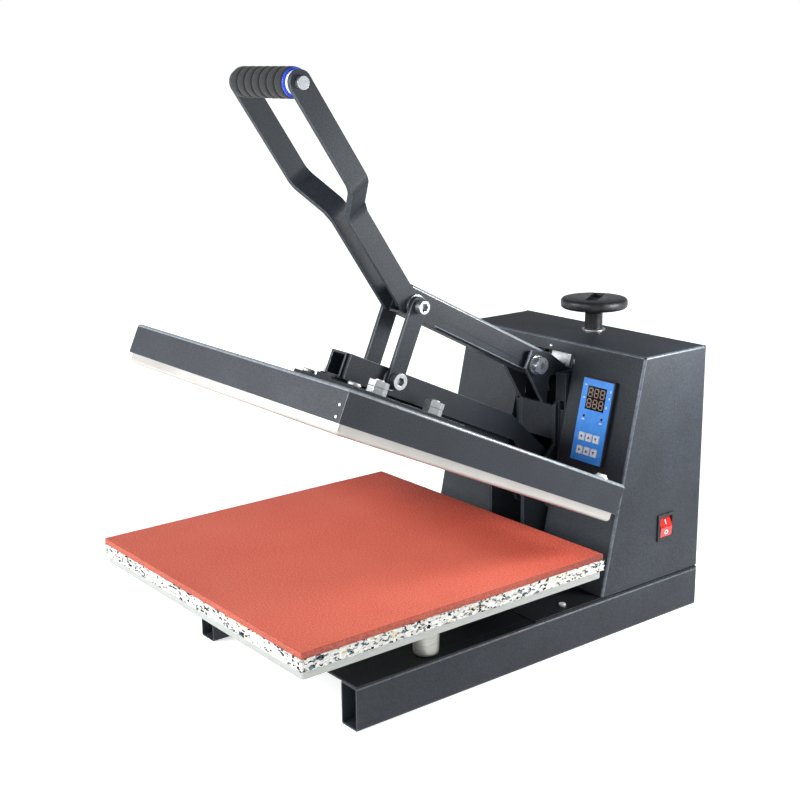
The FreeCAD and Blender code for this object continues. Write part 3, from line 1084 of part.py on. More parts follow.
case = piece("controller_case", **slope_spot)
slab(case, "top", "0", "controller_proud", [mid_run("controller_width / 2", "controller_height / 2", *case_mid)])
round_edges(case, "controller_rim", lambda start, end: near(start.x, end.x) and near(start.y, end.y))
slab(case, "top", "-controller_depth", "0", [mid_run(case_half, case_half_up, *case_mid)])
slab(case, "top", key_sink, "controller_proud", key_wells, cut=True)
front = piece("controller_face", **slope_spot)
slab(front, "top", face_back, face_front, [mid_run(face_half, face_half_up, *case_mid)])
slab(front, "top", face_back, face_front,
     [mid_run("window_width / 2 + fit_gap", "window_height / 2 + fit_gap", *window_mid)], cut=True)
slab(front, "top", face_back, face_front, key_wells, cut=True)
slab(front, "top", face_back, face_front, discs=[(x, s, f"{radius} + fit_gap") for x, s, radius in lamps], cut=True)
window = piece("display_window", **slope_spot)
slab(window, "top", face_back, f"{face_front} + 0.3", [mid_run("window_width / 2", "window_height / 2", *window_mid)])
lights = piece("indicator_lamps", **slope_spot)
slab(lights, "top", face_back, f"{face_front} + 0.5", discs=lamps)
for number, (x, s) in enumerate(keys, start=1):
    key = piece(f"key_{number}", **slope_spot)
    slab(key, "top", f"{key_sink} + key_travel + 0.2", f"{face_front} + key_proud",
         [mid_run("key_width / 2", "key_height / 2", x, s)])

# Power switch: bezel through the side panel, rocker on an axle along Y
side_face = "(housing_width / 2)"
bezel = piece("switch_bezel")
slab(bezel, "side", side_face, f"{side_face} + switch_proud",
     [mid_run("switch_width / 2", "switch_height / 2", "switch_place", switch_up)])
slab(bezel, "side", f"{side_face} - switch_depth", side_face,
     [mid_run("rocker_width / 2 + 1.8", "rocker_half + 2.2", "switch_place", switch_up)])
slab(bezel, "side", f"{side_face} - switch_depth + 4", f"{side_face} + switch_proud",
     [mid_run("rocker_width / 2 + 0.3", "rocker_half + 0.7", "switch_place", switch_up)], cut=True)
rocker_axis = f"({side_face} + switch_proud - rocker_sink)"
rocker = piece("power_rocker", across=rocker_axis, along="switch_place", up=switch_up)
rocker_face = [
    ("-8", "-3"),
    ("-8", "3"),
    ("-1 * cos(rocker_angle)", "rocker_half * cos(rocker_angle)"),
    ("rocker_sink - rocker_half * sin(2 * rocker_angle)", "rocker_half * cos(2 * rocker_angle)"),
    ("rocker_sink + 1", "0"),
    ("rocker_sink", "-rocker_half"),
    ("-1", "-rocker_half"),
]
slab(rocker, "front", "-rocker_width / 2", "rocker_width / 2", [rocker_face])

# Relay on the pan, between the controller and the mains inlet
relay = piece("solid_state_relay")
slab(relay, "top", pan_top, f"{pan_top} + relay_height",
     [mid_run("relay_width / 2", "relay_length / 2", "-relay_place", f"(housing_foot + {shell_rear}) / 2")])

doc.recompute()

# Only the whole pieces are written: helper bodies are the operands of a cut or a common
operands = {item.Name for item in doc.Objects if item.TypeId == "Part::Box"}
for item in doc.Objects:
    if item.TypeId in ("Part::Cut", "Part::Common"):
        operands.update((item.Base.Name, item.Tool.Name))
kinds = ("PartDesign::Body", "Part::Cut", "Part::Common")
pieces = [item for item in doc.Objects if item.TypeId in kinds and item.Name not in operands]
for item in doc.Objects:
    if "Invalid" in item.State or "Error" in item.State:
        raise RuntimeError(f"{item.Label} did not compute: {item.State}")
for item in pieces:
    if item.Shape.isNull() or not item.Shape.isValid() or not item.Shape.Solids:
        raise RuntimeError(f"{item.Label} has no sound shape")

os.makedirs("parts", exist_ok=True)
for item in pieces:
    item.Shape.exportStep(os.path.join("parts", f"{item.Label}.step"))
print(len(pieces), "pieces written")
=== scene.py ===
import json
import math

import bmesh
import bpy
from mathutils import Matrix, Vector, noise
from mathutils.bvhtree import BVHTree


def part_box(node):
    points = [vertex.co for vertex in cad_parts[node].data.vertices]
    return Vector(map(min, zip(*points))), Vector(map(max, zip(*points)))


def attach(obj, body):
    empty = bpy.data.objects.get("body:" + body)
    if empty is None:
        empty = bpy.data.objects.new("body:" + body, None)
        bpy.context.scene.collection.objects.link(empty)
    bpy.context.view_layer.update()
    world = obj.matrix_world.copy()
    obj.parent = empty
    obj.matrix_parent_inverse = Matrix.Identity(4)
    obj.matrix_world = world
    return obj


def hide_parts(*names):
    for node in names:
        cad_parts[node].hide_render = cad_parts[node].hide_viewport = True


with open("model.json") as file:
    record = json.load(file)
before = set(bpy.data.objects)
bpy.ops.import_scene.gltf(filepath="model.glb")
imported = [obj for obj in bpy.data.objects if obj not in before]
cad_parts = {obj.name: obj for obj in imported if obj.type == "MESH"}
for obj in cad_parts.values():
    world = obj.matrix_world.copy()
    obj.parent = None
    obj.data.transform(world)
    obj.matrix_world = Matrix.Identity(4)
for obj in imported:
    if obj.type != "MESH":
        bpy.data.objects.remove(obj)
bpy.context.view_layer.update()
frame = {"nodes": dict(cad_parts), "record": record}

MM = 0.001
NODES = frame["nodes"]
BODY_OF = {node: body for body, nodes in frame["record"]["behaviour"]["bodies"].items() for node in nodes}
SLOT_OF = {row["node"]: row["material_slot"] for row in frame["record"]["subparts"]}


# Shader helpers

def linear(code):
    """An sRGB hex colour, turned to the linear values that the shaders read."""
    parts = [int(code[at:at + 2], 16) / 255 for at in (1, 3, 5)]
    return tuple(c / 12.92 if c <= 0.04045 else ((c + 0.055) / 1.055) ** 2.4 for c in parts) + (1.0,)


def add(tree, kind, inputs, stops=(), **settings):
    """Adds one node with its settings, its inputs as values or links, and a ramp's stops."""
    made = tree.nodes.new("ShaderNode" + kind)
    for name, value in settings.items():
        setattr(made, name, value)
    for name, value in inputs.items():
        if isinstance(value, bpy.types.NodeSocket):
            tree.links.new(value, made.inputs[name])
        else:
            made.inputs[name].default_value = value
    for index, (place, shade) in enumerate(stops):
        ramp = made.color_ramp.elements
        stop = ramp[index] if index < len(ramp) else ramp.new(place)
        stop.position = place
        stop.color = linear(shade)
    return made


def finish(name, **sockets):
    """A new material with its plain values set. Returns it, its tree, its shader and its object
    coordinates."""
    material = bpy.data.materials.new(name)
    material.use_nodes = True
    tree = material.node_tree
    shader = tree.nodes["Principled BSDF"]
    for socket, value in sockets.items():
        value = linear(value) if isinstance(value, str) else value
        shader.inputs[socket.replace("_", " ")].default_value = value
    return material, tree, shader, add(tree, "TexCoord", {}).outputs["Object"]


def grain(tree, spot, size, detail=2.0, roughness=0.5):
    """Noise whose grains are about size millimetres across."""
    inputs = {"Vector": spot, "Scale": 1 / (size * MM), "Detail": detail, "Roughness": roughness}
    return add(tree, "TexNoise", inputs).outputs["Fac"]


def tint(tree, shader, pattern, stops):
    """Colours the surface by a pattern, through a ramp."""
    ramp = add(tree, "ValToRGB", {"Fac": pattern}, stops=stops)
    tree.links.new(ramp.outputs["Color"], shader.inputs["Base Color"])


def dull(tree, shader, pattern, low, high):
    """Sets the roughness by a pattern, from low to high."""
    inputs = {"Value": pattern, "From Min": 0.3, "From Max": 0.7, "To Min": low, "To Max": high}
    spread = add(tree, "MapRange", inputs)
    tree.links.new(spread.outputs["Result"], shader.inputs["Roughness"])


def raise_up(tree, shader, pattern, depth, strength):
    """Raises the surface by a pattern, depth millimetres at most."""
    relief = add(tree, "Bump", {"Height": pattern, "Strength": strength, "Distance": depth * MM})
    tree.links.new(relief.outputs["Normal"], shader.inputs["Normal"])


# Finishes

def powder_coat(name="powder_coat_charcoal", dark="#22262C", middle="#2A2F36", light="#343A42"):
    """Textured polyester powder coat, sprayed and baked: charcoal with a blue cast; a near-black copy is
    painted shade, for the deck and floor pan in shadow. Its wrinkle, drawn at 1.6 mm so that it shows,
    breaks the highlights into specks, and broad patches keep large sheets from looking flat."""
    material, tree, shader, spot = finish(name, IOR=1.5, Specular_IOR_Level=0.28)
    wrinkle = grain(tree, spot, 1.6, 3.0, 0.62)
    patches = grain(tree, spot, 60)
    mixed = add(tree, "Mix", {"Factor": 0.3, "A": wrinkle, "B": patches}).outputs["Result"]
    tint(tree, shader, mixed, [(0.36, dark), (0.5, middle), (0.66, light)])
    dull(tree, shader, wrinkle, 0.56, 0.44)
    raise_up(tree, shader, wrinkle, 0.14, 0.45)
    return material


def rubbed_and_highlit_coat(name="powder_coat_rubbed_and_highlit", dark="#3E454D", light="#65707B", low=0.4, high=0.25):
    """The same coat on folds and cut edges, where it is thin and rubbed: smoother, and paler partly from
    wear and partly as a painted highlight, so that edges read as fine bright lines."""
    material, tree, shader, spot = finish(name, IOR=1.5)
    wear = grain(tree, spot, 5, 3.0, 0.6)
    tint(tree, shader, wear, [(0.3, dark), (0.7, light)])
    dull(tree, shader, wear, low, high)
    raise_up(tree, shader, wear, 0.03, 0.3)
    return material


def zinc_plate(name, dark, light, metallic):
    """Bright zinc plate on turned and rolled steel: a blue-white metal with fine marks and duller spots.
    Nuts and pan heads take a paler, less metallic copy, a painted highlight which keeps them pale
    from every side."""
    material, tree, shader, spot = finish(name, Metallic=metallic)
    spots = grain(tree, spot, 4, 3.0, 0.6)
    tint(tree, shader, spots, [(0.3, dark), (0.7, light)])
    dull(tree, shader, spots, 0.38, 0.24)
    raise_up(tree, shader, grain(tree, spot, 0.9), 0.01, 0.25)
    return material


def cast_alloy(name="aluminium_cast_bare", dark="#A5A6A0", light="#C8C8C0", metallic=0.8):
    """Cast aluminium, fettled and left bare or thinly lacquered: pale and satin, with level draw lines and
    a pebbled skin."""
    material, tree, shader, spot = finish(name, Metallic=metallic)
    level = add(tree, "Mapping", {"Vector": spot, "Scale": (0.3, 0.3, 5.0)}).outputs["Vector"]
    lines = grain(tree, level, 3, 3.0, 0.6)
    tint(tree, shader, lines, [(0.3, dark), (0.7, light)])
    dull(tree, shader, lines, 0.56, 0.4)
    raise_up(tree, shader, grain(tree, spot, 1.2), 0.06, 0.4)
    return material


def nonstick_coat():
    """The heat plate's aluminium under a clear non-stick film: pale and satin, it mirrors the pad in its
    rounded lower edge, with faint stains and orange peel."""
    material, tree, shader, spot = finish("nonstick_coat_on_aluminium", Metallic=0.8)
    stain = grain(tree, spot, 30, 3.0, 0.6)
    tint(tree, shader, stain, [(0.3, "#B3B0AB"), (0.7, "#BBB8B4")])
    dull(tree, shader, stain, 0.36, 0.42)
    raise_up(tree, shader, grain(tree, spot, 2.5), 0.03, 0.3)
    return material


def silicone_rubber(name, scorched_and_shaded, dark, middle, light, relief):
    """Cured silicone sheet, pressed between fine cloth: brick orange, matte and a little waxy, with a
    dusty grain and broad darker patches. It is painted darker towards the hinge: painted shade, for the
    open platen's shadow over the rear. Its cut edge is the same rubber, painted darker as shade on the
    sides, and torn by the knife."""
    material, tree, shader, spot = finish(name, IOR=1.42, Specular_IOR_Level=0.7)
    dust = grain(tree, spot, 1.8, 4.0, 0.7)
    scorch = grain(tree, spot, 110, 3.0, 0.6)
    mixed = add(tree, "Mix", {"Factor": 0.15, "A": dust, "B": scorch}).outputs["Result"]
    back = add(tree, "SeparateXYZ", {"Vector": spot}).outputs["Y"]
    # Painted shade: the colour darkens towards the rear, standing in for the open platen's shadow over it.
    rear_painted_shade = add(tree, "MapRange", {"Value": back, "From Min": -0.03, "From Max": 0.15, "To Max": 0.34})
    patches_and_rear_shade = add(tree, "Math", {0: mixed, 1: rear_painted_shade.outputs["Result"]}, operation="SUBTRACT").outputs["Value"]
    tint(tree, shader, patches_and_rear_shade, [(0.16, scorched_and_shaded), (0.36, dark), (0.5, middle), (0.64, light)])
    dull(tree, shader, dust, 0.74, 0.58)
    raise_up(tree, shader, dust, relief, 0.4)
    return material


def rebonded_foam():
    """Shredded foam offcuts, pressed and glued into a sheet: nearly all white, with flecks of about 3.7 by
    1.8 mm in black, slate and cream, laid flat by the press, and pores between them."""
    material, tree, shader, spot = finish("foam_crumb_rebonded", IOR=1.4, Specular_IOR_Level=0.2)
    drift = add(tree, "TexNoise", {"Vector": spot, "Scale": 300.0, "Detail": 2.0})
    shift = {0: drift.outputs["Color"], 1: (0.008, 0.008, 0.004)}
    push = add(tree, "VectorMath", shift, operation="MULTIPLY")
    moved = add(tree, "VectorMath", {0: spot, 1: push.outputs["Vector"]}, operation="ADD")
    squashed = add(tree, "Mapping", {"Vector": moved.outputs["Vector"], "Scale": (1.0, 1.0, 2.1)})
    crumbs = add(tree, "TexVoronoi", {"Vector": squashed.outputs["Vector"], "Scale": 270.0})
    draw = add(tree, "SeparateColor", {"Color": crumbs.outputs["Color"]}).outputs["Red"]
    tint(tree, shader, draw, [(0.0, "#16181B"), (0.1, "#1D2024"), (0.12, "#4A525D"), (0.24, "#7C848E"),
                              (0.26, "#D2C89A"), (0.31, "#DAD6C0"), (0.33, "#CDCCC7"), (1.0, "#F2F1EC")])
    pores = grain(tree, spot, 1, 3.0, 0.7)
    dull(tree, shader, pores, 0.95, 0.82)
    raise_up(tree, shader, pores, 0.25, 0.5)
    return material


def foam_rubber():
    """Extruded nitrile foam of the grip: a soft near-black that never shines, with fine open pores."""
    material, tree, shader, spot = finish("foam_rubber_black", IOR=1.45, Specular_IOR_Level=0.3,
                                          Sheen_Weight=0.1, Sheen_Roughness=0.6)
    pores = grain(tree, spot, 0.9, 4.0, 0.7)
    tint(tree, shader, pores, [(0.3, "#131416"), (0.55, "#1E1F21"), (0.75, "#2D2E30")])
    dull(tree, shader, pores, 0.95, 0.78)
    raise_up(tree, shader, pores, 0.2, 0.6)
    return material


def moulded(name, dark, light, low, high, peel=0.02, **sockets):
    """Injection-moulded plastic: an even colour with a slight cloudiness, and a mould skin that softens
    the gloss."""
    material, tree, shader, spot = finish(name, IOR=1.49, **sockets)
    cloud = grain(tree, spot, 7, 3.0)
    tint(tree, shader, cloud, [(0.3, dark), (0.7, light)])
    dull(tree, shader, cloud, low, high)
    raise_up(tree, shader, grain(tree, spot, 0.8), peel, 0.3)
    return material


def fibre_board():
    """Pressed ceramic fibre board over the heat plate: cream, soft and dusty, with short fibres."""
    material, tree, shader, spot = finish("fibre_board_cream", IOR=1.4)
    combed = add(tree, "Mapping", {"Vector": spot, "Scale": (1.0, 0.3, 1.0)}).outputs["Vector"]
    fibres = grain(tree, combed, 1.5, 4.0, 0.7)
    tint(tree, shader, fibres, [(0.3, "#BDB59E"), (0.7, "#DDD6C3")])
    dull(tree, shader, fibres, 0.95, 0.85)
    raise_up(tree, shader, fibres, 0.3, 0.5)
    return material


# The coat's second finish, on eased edges and upward folds, is paler partly from wear, partly as painted
# highlight.
COAT = [powder_coat(), rubbed_and_highlit_coat()]
# A near-black copy of the coat: painted shade for the deck and floor pan, which lie in shadow.
PAINTED_SHADE_COAT = [powder_coat("powder_coat_painted_shade", "#101215", "#15181B", "#1C1F23"), COAT[1]]
# A pale copy for the folds of the cover and arm: painted highlight along their edges.
BRIGHT_EDGE = [COAT[0], rubbed_and_highlit_coat("powder_coat_painted_highlight", "#737B83", "#939BA3", 0.26, 0.2)]
ZINC = [zinc_plate("zinc_plated_steel", "#A3A7AA", "#C4C8CB", 0.85)]
# A paler, less metallic zinc for nuts, studs, rivets and screws: painted highlight.
PALE_ZINC = [zinc_plate("zinc_painted_highlight", "#D3D6D8", "#F0F2F2", 0.45)]
ALLOY = [cast_alloy()]
NONSTICK = [nonstick_coat()]
SILICONE = [silicone_rubber("silicone_sheet_brick", "#6E281B", "#CB5742", "#DB6A55", "#E9806B", 0.08),
            # The edge copy is painted darker: painted shade on the sheet's sides.
            silicone_rubber("silicone_edge_painted_shade", "#6A281C", "#8C3A2A", "#A64A37", "#C05F4A", 0.5)]
CRUMB = [rebonded_foam()]
GRIP = [foam_rubber()]
BOARD = [fibre_board()]
NYLON = [moulded("nylon_natural", "#DCDDDD", "#EFEFEE", 0.35, 0.5)]
BLUE = [moulded("polyester_film_blue", "#3A92F8", "#4CA2FF", 0.34, 0.46)]
COLLAR = [moulded("nylon_blue", "#1B3FC4", "#2B57E0", 0.28, 0.4)]
BLACK = [moulded("abs_black", "#131416", "#1E1F22", 0.4, 0.55, 0.04)]
WINDOW = [moulded("acrylic_smoked", "#171314", "#1F1A1A", 0.08, 0.16, 0.005)]
LAMP = [moulded("acrylic_lens_unlit", "#3B1A1E", "#542329", 0.1, 0.2, 0.005)]
KNOB = [moulded("phenolic_moulded_grey", "#17191B", "#202325", 0.34, 0.46, Specular_IOR_Level=0.35)]
TRAY = [cast_alloy("aluminium_lacquered", "#A3A6A3", "#B8BBB8", 0.55)]
KEY = [moulded("abs_white", "#E9EFF8", "#F7FAFD", 0.35, 0.5)]
RED = [moulded("polycarbonate_red", "#A60D0B", "#C41912", 0.12, 0.24, 0.01, Coat_Weight=0.5,
               Coat_Roughness=0.08)]
INK = [moulded("ink_white", "#E6EBF2", "#F6F8FA", 0.45, 0.6)]
MARK = [moulded("ink_slate", "#3E5479", "#4C648C", 0.45, 0.6)]
DIGIT = [moulded("display_segment_unlit", "#8B7566", "#A8917F", 0.3, 0.45)]

SLOT_FINISH = {"powder_coat": COAT, "zinc_steel": ZINC, "bare_aluminium": ALLOY, "coated_aluminium": NONSTICK,
               "silicone": SILICONE, "rebond_foam": CRUMB, "grip_foam": GRIP, "insulation": BOARD,
               "nylon": NYLON, "blue_plastic": BLUE, "black_plastic": BLACK, "display": WINDOW, "lamp": LAMP,
               "pale_keys": KEY, "red_rocker": RED}


# Mesh helpers

def place_piece(mesh, name, body, materials, angle=35):
    """Turns a finished bmesh into a piece that rides on a body, smooth except at edges sharper than the
    angle."""
    data = bpy.data.meshes.new(name)
    mesh.to_mesh(data)
    mesh.free()
    data.shade_smooth()
    data.set_sharp_from_angle(angle=math.radians(angle))
    for material in materials:
        data.materials.append(material)
    made = bpy.data.objects.new(name, data)
    bpy.context.scene.collection.objects.link(made)
    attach(made, body)
    return made


def ease_edges(piece, radius, angle=32):
    """Rounds the sharp edges over by a radius in millimetres; the rounding takes the piece's last
    finish."""
    rounding = piece.modifiers.new("eased_edges", "BEVEL")
    rounding.width = radius * MM
    rounding.segments = 2
    rounding.limit_method = "ANGLE"
    rounding.angle_limit = math.radians(angle)
    rounding.harden_normals = True
    rounding.material = len(piece.data.materials) - 1


def round_bends(mesh, radius):
    """Rounds the bends of a flat bar, where it turns by 15 to 70 degrees across its whole width."""
    bends = [edge for edge in mesh.edges if edge.is_manifold and edge.calc_length() > 15 * MM
             and 15 < math.degrees(edge.calc_face_angle()) < 70]
    bmesh.ops.bevel(mesh, geom=bends, offset=radius * MM, offset_type="OFFSET", segments=5, profile=0.5,
                    affect="EDGES", clamp_overlap=False, material=-1)


def wear_and_highlight_folds(mesh):
    """Gives the second finish, paler partly as a painted highlight, to the rounded folds of a sheet or
    tube: the long faces less than 0.6 mm wide. Those that face down, away from the light, keep their coat."""
    for face in mesh.faces:
        longest = max(edge.calc_length() for edge in face.edges)
        if longest > 60 * MM and face.calc_area() < 0.6 * MM * longest and face.normal.z > -0.2:
            face.material_index = 1


def tidy_copy(node):
    """The mesh of a CAD node with its loose triangles joined and its flat faces made whole."""
    mesh = bmesh.new()
    mesh.from_mesh(NODES[node].data)
    bmesh.ops.remove_doubles(mesh, verts=mesh.verts, dist=0.002 * MM)
    bmesh.ops.dissolve_limit(mesh, angle_limit=math.radians(1), verts=mesh.verts, edges=mesh.edges)
    for face in mesh.faces:
        face.material_index = 0
    return mesh


def rounded(node, radius, materials=None):
    """Stands for a CAD node of the same shape, with its edges eased as on the real piece."""
    slot = SLOT_OF[node]
    materials = materials or SLOT_FINISH[slot]
    mesh = tidy_copy(node)
    if node.startswith("handle_bar"):
        round_bends(mesh, radius=7)
    if len(materials) > 1:
        wear_and_highlight_folds(mesh)
    piece = place_piece(mesh, f"{node}_eased", BODY_OF[node], materials)
    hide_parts(node)
    ease_edges(piece, radius)


def reach(node, place):
    """The lowest and highest corner of a CAD node, along the axes of a place."""
    back = place.inverted()
    spots = [back @ corner.co for corner in NODES[node].data.vertices]
    low = Vector(min(spot[axis] for spot in spots) for axis in range(3))
    high = Vector(max(spot[axis] for spot in spots) for axis in range(3))
    return low, high


def block(mesh, low, high, place):
    """Adds a box between two corners of a place to the mesh."""
    low, high = Vector(low), Vector(high)
    fit = Matrix.Translation((low + high) / 2) @ Matrix.Diagonal((*(high - low), 1))
    bmesh.ops.create_cube(mesh, size=1, matrix=place @ fit)


def outline(mesh, corners, low, high, place):
    """Adds a prism of the corners' outline, from one height to another, at a place."""
    ring = [mesh.verts.new((x, y, low)) for x, y in corners]
    face = mesh.faces.new(ring)
    grown = bmesh.ops.extrude_face_region(mesh, geom=[face])["geom"]
    top = [part for part in grown if isinstance(part, bmesh.types.BMVert)]
    bmesh.ops.translate(mesh, verts=top, vec=(0, 0, high - low))
    bmesh.ops.recalc_face_normals(mesh, faces=mesh.faces)
    bmesh.ops.transform(mesh, verts=ring + top, matrix=place)


def turned(mesh, profile, steps, place=Matrix()):
    """Adds a round, spun about a place's z axis from an outline of (radius, height) corners in metres."""
    kept = set(mesh.verts)
    ring = [mesh.verts.new((radius, 0, height)) for radius, height in profile]
    closing = [] if profile[0][0] == 0 else [(ring[-1], ring[0])]
    edges = [mesh.edges.new(pair) for pair in [*zip(ring, ring[1:]), *closing]]
    bmesh.ops.spin(mesh, geom=ring + edges, axis=(0, 0, 1), cent=(0, 0, 0), angle=math.tau, steps=steps,
                   use_merge=True)
    grown = [vert for vert in mesh.verts if vert not in kept]
    bmesh.ops.remove_doubles(mesh, verts=grown, dist=0.001 * MM)
    grown = [vert for vert in mesh.verts if vert not in kept]
    bmesh.ops.recalc_face_normals(mesh, faces=list({face for vert in grown for face in vert.link_faces}))
    bmesh.ops.transform(mesh, verts=grown, matrix=place)


def bead(mesh, start, end, radius, place=Matrix()):
    """Adds a weld bead from start to end as a row of ripples, with a radius in millimetres."""
    start, end = Vector(start), Vector(end)
    ripples = round((end - start).length / (1.3 * radius * MM))
    for ripple in range(ripples + 1):
        spot = Matrix.Translation(start.lerp(end, ripple / ripples))
        swell = 1 + 0.18 * noise.noise(Vector((ripple, radius, 0.5)))
        bmesh.ops.create_icosphere(mesh, subdivisions=2, radius=radius * swell * MM, matrix=place @ spot)


def stroke(mesh, start, end, half, low, high, place):
    """Adds a flat bar with pointed ends between two points of a place, half its width, from one height to
    another."""
    start, end = Vector(start), Vector(end)
    along = (end - start).normalized() * half
    side = Vector((-along.y, along.x))
    below, above = along - side, along + side
    outline(mesh, [start, start + below, end - above, end, end - below, start + above], low, high, place)


def touch(node, spot, way):
    """The place where a line from a spot meets a CAD node, with its z axis out of the surface and its y
    axis up."""
    mesh = bmesh.new()
    mesh.from_mesh(NODES[node].data)
    found, normal, _, _ = BVHTree.FromBMesh(mesh).ray_cast(Vector(spot), Vector(way))
    mesh.free()
    across = Vector((0, 0, 1)).cross(normal).normalized()
    return Matrix.Translation(found) @ Matrix((across, normal.cross(across), normal)).transposed().to_4x4()


# Places: the foot of the housing's slope, with z out of it, and the hinge, tilted as the open platen is

SLOPE_TILT = 77.34
OPEN_ANGLE = 24.6
SLOPE = Matrix.Translation((0, 0.1299, 0.047)) @ Matrix.Rotation(math.radians(SLOPE_TILT), 4, "X")
SWING = Matrix.Translation((0, 0.1606, 0.128)) @ Matrix.Rotation(math.radians(-OPEN_ANGLE), 4, "X")


# Structural pieces

# The radius of each piece's eased edges, in millimetres
COAT_EASE = {"housing_shell": 0.7, "back_panel": 0.4, "base_rail_left": 0.35, "base_rail_right": 0.35,
             "base_cross_tubes": 0.4, "column_plate_left": 0.6, "column_plate_right": 0.6,
             "column_braces": 0.6, "mounting_plate": 0.8, "beam_tube": 0.6, "beam_cheeks": 0.8,
             "pressure_bracket": 0.8, "handle_bar_left": 0.9, "handle_bar_right": 0.9, "toggle_links": 0.8}
ZINC_EASE = {"hinge_bolt": 0.5, "knob_washer": 0.4, "beam_cross_pins": 0.4, "arm_pivot_bolt": 0.5,
             "pressure_screw": 0.4, "grip_rod": 0.5, "upper_link_bolt": 0.5, "lower_link_bolts": 0.5,
             "heating_element": 0.5, "lift_spring": 0.4, "bracket_stiffener": 0.4}
OTHER_EASE = {"platen_posts": 0.6, "insulation_board": 0.8, "bracket_guides": 0.5, "grip_end_ring": 0.5,
              "controller_face": 0.3, "controller_case": 0.5, "switch_bezel": 0.5, "mains_inlet": 0.5,
              "solid_state_relay": 0.8, "display_window": 0.2, "indicator_lamps": 0.4, "power_rocker": 0.5}
OWN_FINISH = {"grip_collar": (0.4, COLLAR), "pressure_knob": (0.6, KNOB), "lower_tray": (1.2, TRAY),
              "housing_floor_pan": (0.4, PAINTED_SHADE_COAT), "deck_plate": (0.5, PAINTED_SHADE_COAT),
              "platen_cover": (0.4, BRIGHT_EDGE), "arm_tube": (0.6, BRIGHT_EDGE), "base_bolts": (0.4, PALE_ZINC),
              "housing_screws": (0.5, PALE_ZINC), "cover_rivets": (0.5, PALE_ZINC), "platen_studs": (0.5, PALE_ZINC),
              "plate_screws": (1.4, PALE_ZINC)}
KEY_EASE = 0.5

for node, radius in {**COAT_EASE, **ZINC_EASE, **OTHER_EASE}.items():
    rounded(node, radius)
for node, (radius, materials) in OWN_FINISH.items():
    rounded(node, radius, materials)
for number in range(1, 7):
    rounded(f"key_{number}", KEY_EASE)


# Upper platen: the heat plate, and what packs the beam up behind its seat

def pressing_plate():
    """The heat plate, with the wide rounding of its lower rim, which mirrors the pad."""
    rounding = 4.6 * MM
    mesh = tidy_copy("heat_plate")
    bmesh.ops.transform(mesh, verts=mesh.verts, matrix=SWING.inverted())
    foot = min(vert.co.z for vert in mesh.verts)
    rim = [edge for edge in mesh.edges if all(vert.co.z < foot + 0.1 * MM for vert in edge.verts)
           and edge.calc_face_angle(0) > 1]
    bmesh.ops.bevel(mesh, geom=rim, offset=rounding, offset_type="OFFSET", segments=7, profile=0.5,
                    affect="EDGES", clamp_overlap=False, material=-1)
    bmesh.ops.transform(mesh, verts=mesh.verts, matrix=SWING)
    piece = place_piece(mesh, "heat_plate_eased", "platen", NONSTICK)
    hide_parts("heat_plate")


def packing_bar():
    """The bar that packs up the beam from its seat to just short of the cover's rear edge."""
    seam, set_back = 0.4 * MM, 3 * MM
    seat_low, seat_high = reach("mounting_plate", SWING)
    beam_low, beam_high = reach("beam_tube", SWING)
    cover_high = reach("platen_cover", SWING)[1]
    mesh = bmesh.new()
    front_low = (beam_low.x, seat_high.y + seam, seat_low.z)
    rear_high = (beam_high.x, cover_high.y - set_back, seat_high.z)
    block(mesh, front_low, rear_high, SWING)
    ease_edges(place_piece(mesh, "beam_packing_bar", "platen", COAT), 0.8)


pressing_plate()
packing_bar()


# Lower platen: silicone sheet on rebonded foam

def fitted(node):
    """The middle and the half size of a CAD node's box."""
    low, high = (Vector(corner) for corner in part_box(node))
    return (low + high) / 2, (high - low) / 2


def silicone_sheet():
    """The silicone sheet: a grid that dips a little where the press has worked, with a shallow crease
    along its right side and edges that wander from the knife."""
    crease_inset, crease_width, crease_depth = 13 * MM, 1.4 * MM, 0.35
    middle, half = fitted("silicone_pad")
    mesh = bmesh.new()
    fit = Matrix.Translation(middle + Vector((0, 0, half.z))) @ Matrix.Diagonal((half.x, half.y, 1, 1))
    bmesh.ops.create_grid(mesh, x_segments=110, y_segments=110, size=1, matrix=fit)
    grown = bmesh.ops.extrude_face_region(mesh, geom=mesh.faces[:])["geom"]
    foot = {part for part in grown if isinstance(part, bmesh.types.BMVert)}
    bmesh.ops.translate(mesh, verts=list(foot), vec=(0, 0, -2 * half.z))
    for share in (0.25, 0.5, 0.75):
        level = middle + Vector((0, 0, half.z * (2 * share - 1)))
        bmesh.ops.bisect_plane(mesh, geom=mesh.verts[:] + mesh.edges[:] + mesh.faces[:], plane_co=level,
                               plane_no=(0, 0, 1))
    bmesh.ops.recalc_face_normals(mesh, faces=mesh.faces)
    for face in mesh.faces:
        # The sides take the darker edge finish: painted shade.
        face.material_index = int(abs(face.normal.z) < 0.5)
    for vert in mesh.verts:
        offset = vert.co - middle
        if offset.z > 0.99 * half.z:
            dip = 0.16 + 0.16 * noise.noise(offset * 9)
            crease = math.exp(-((offset.x - half.x + crease_inset) / crease_width) ** 2) * crease_depth
            vert.co.z -= (dip + crease * (0.5 + 0.5 * math.tanh(offset.y * 18))) * MM
        for axis in (0, 1):
            if abs(offset[axis]) > 0.999 * half[axis]:
                wander = 0.3 + 0.3 * noise.noise(vert.co * 140) + 0.3 * abs(noise.noise(vert.co * 900))
                vert.co[axis] -= math.copysign(wander * MM, offset[axis])
    piece = place_piece(mesh, "silicone_sheet", "frame", SILICONE, angle=50)
    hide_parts("silicone_pad")
    ease_edges(piece, 0.5, angle=50)


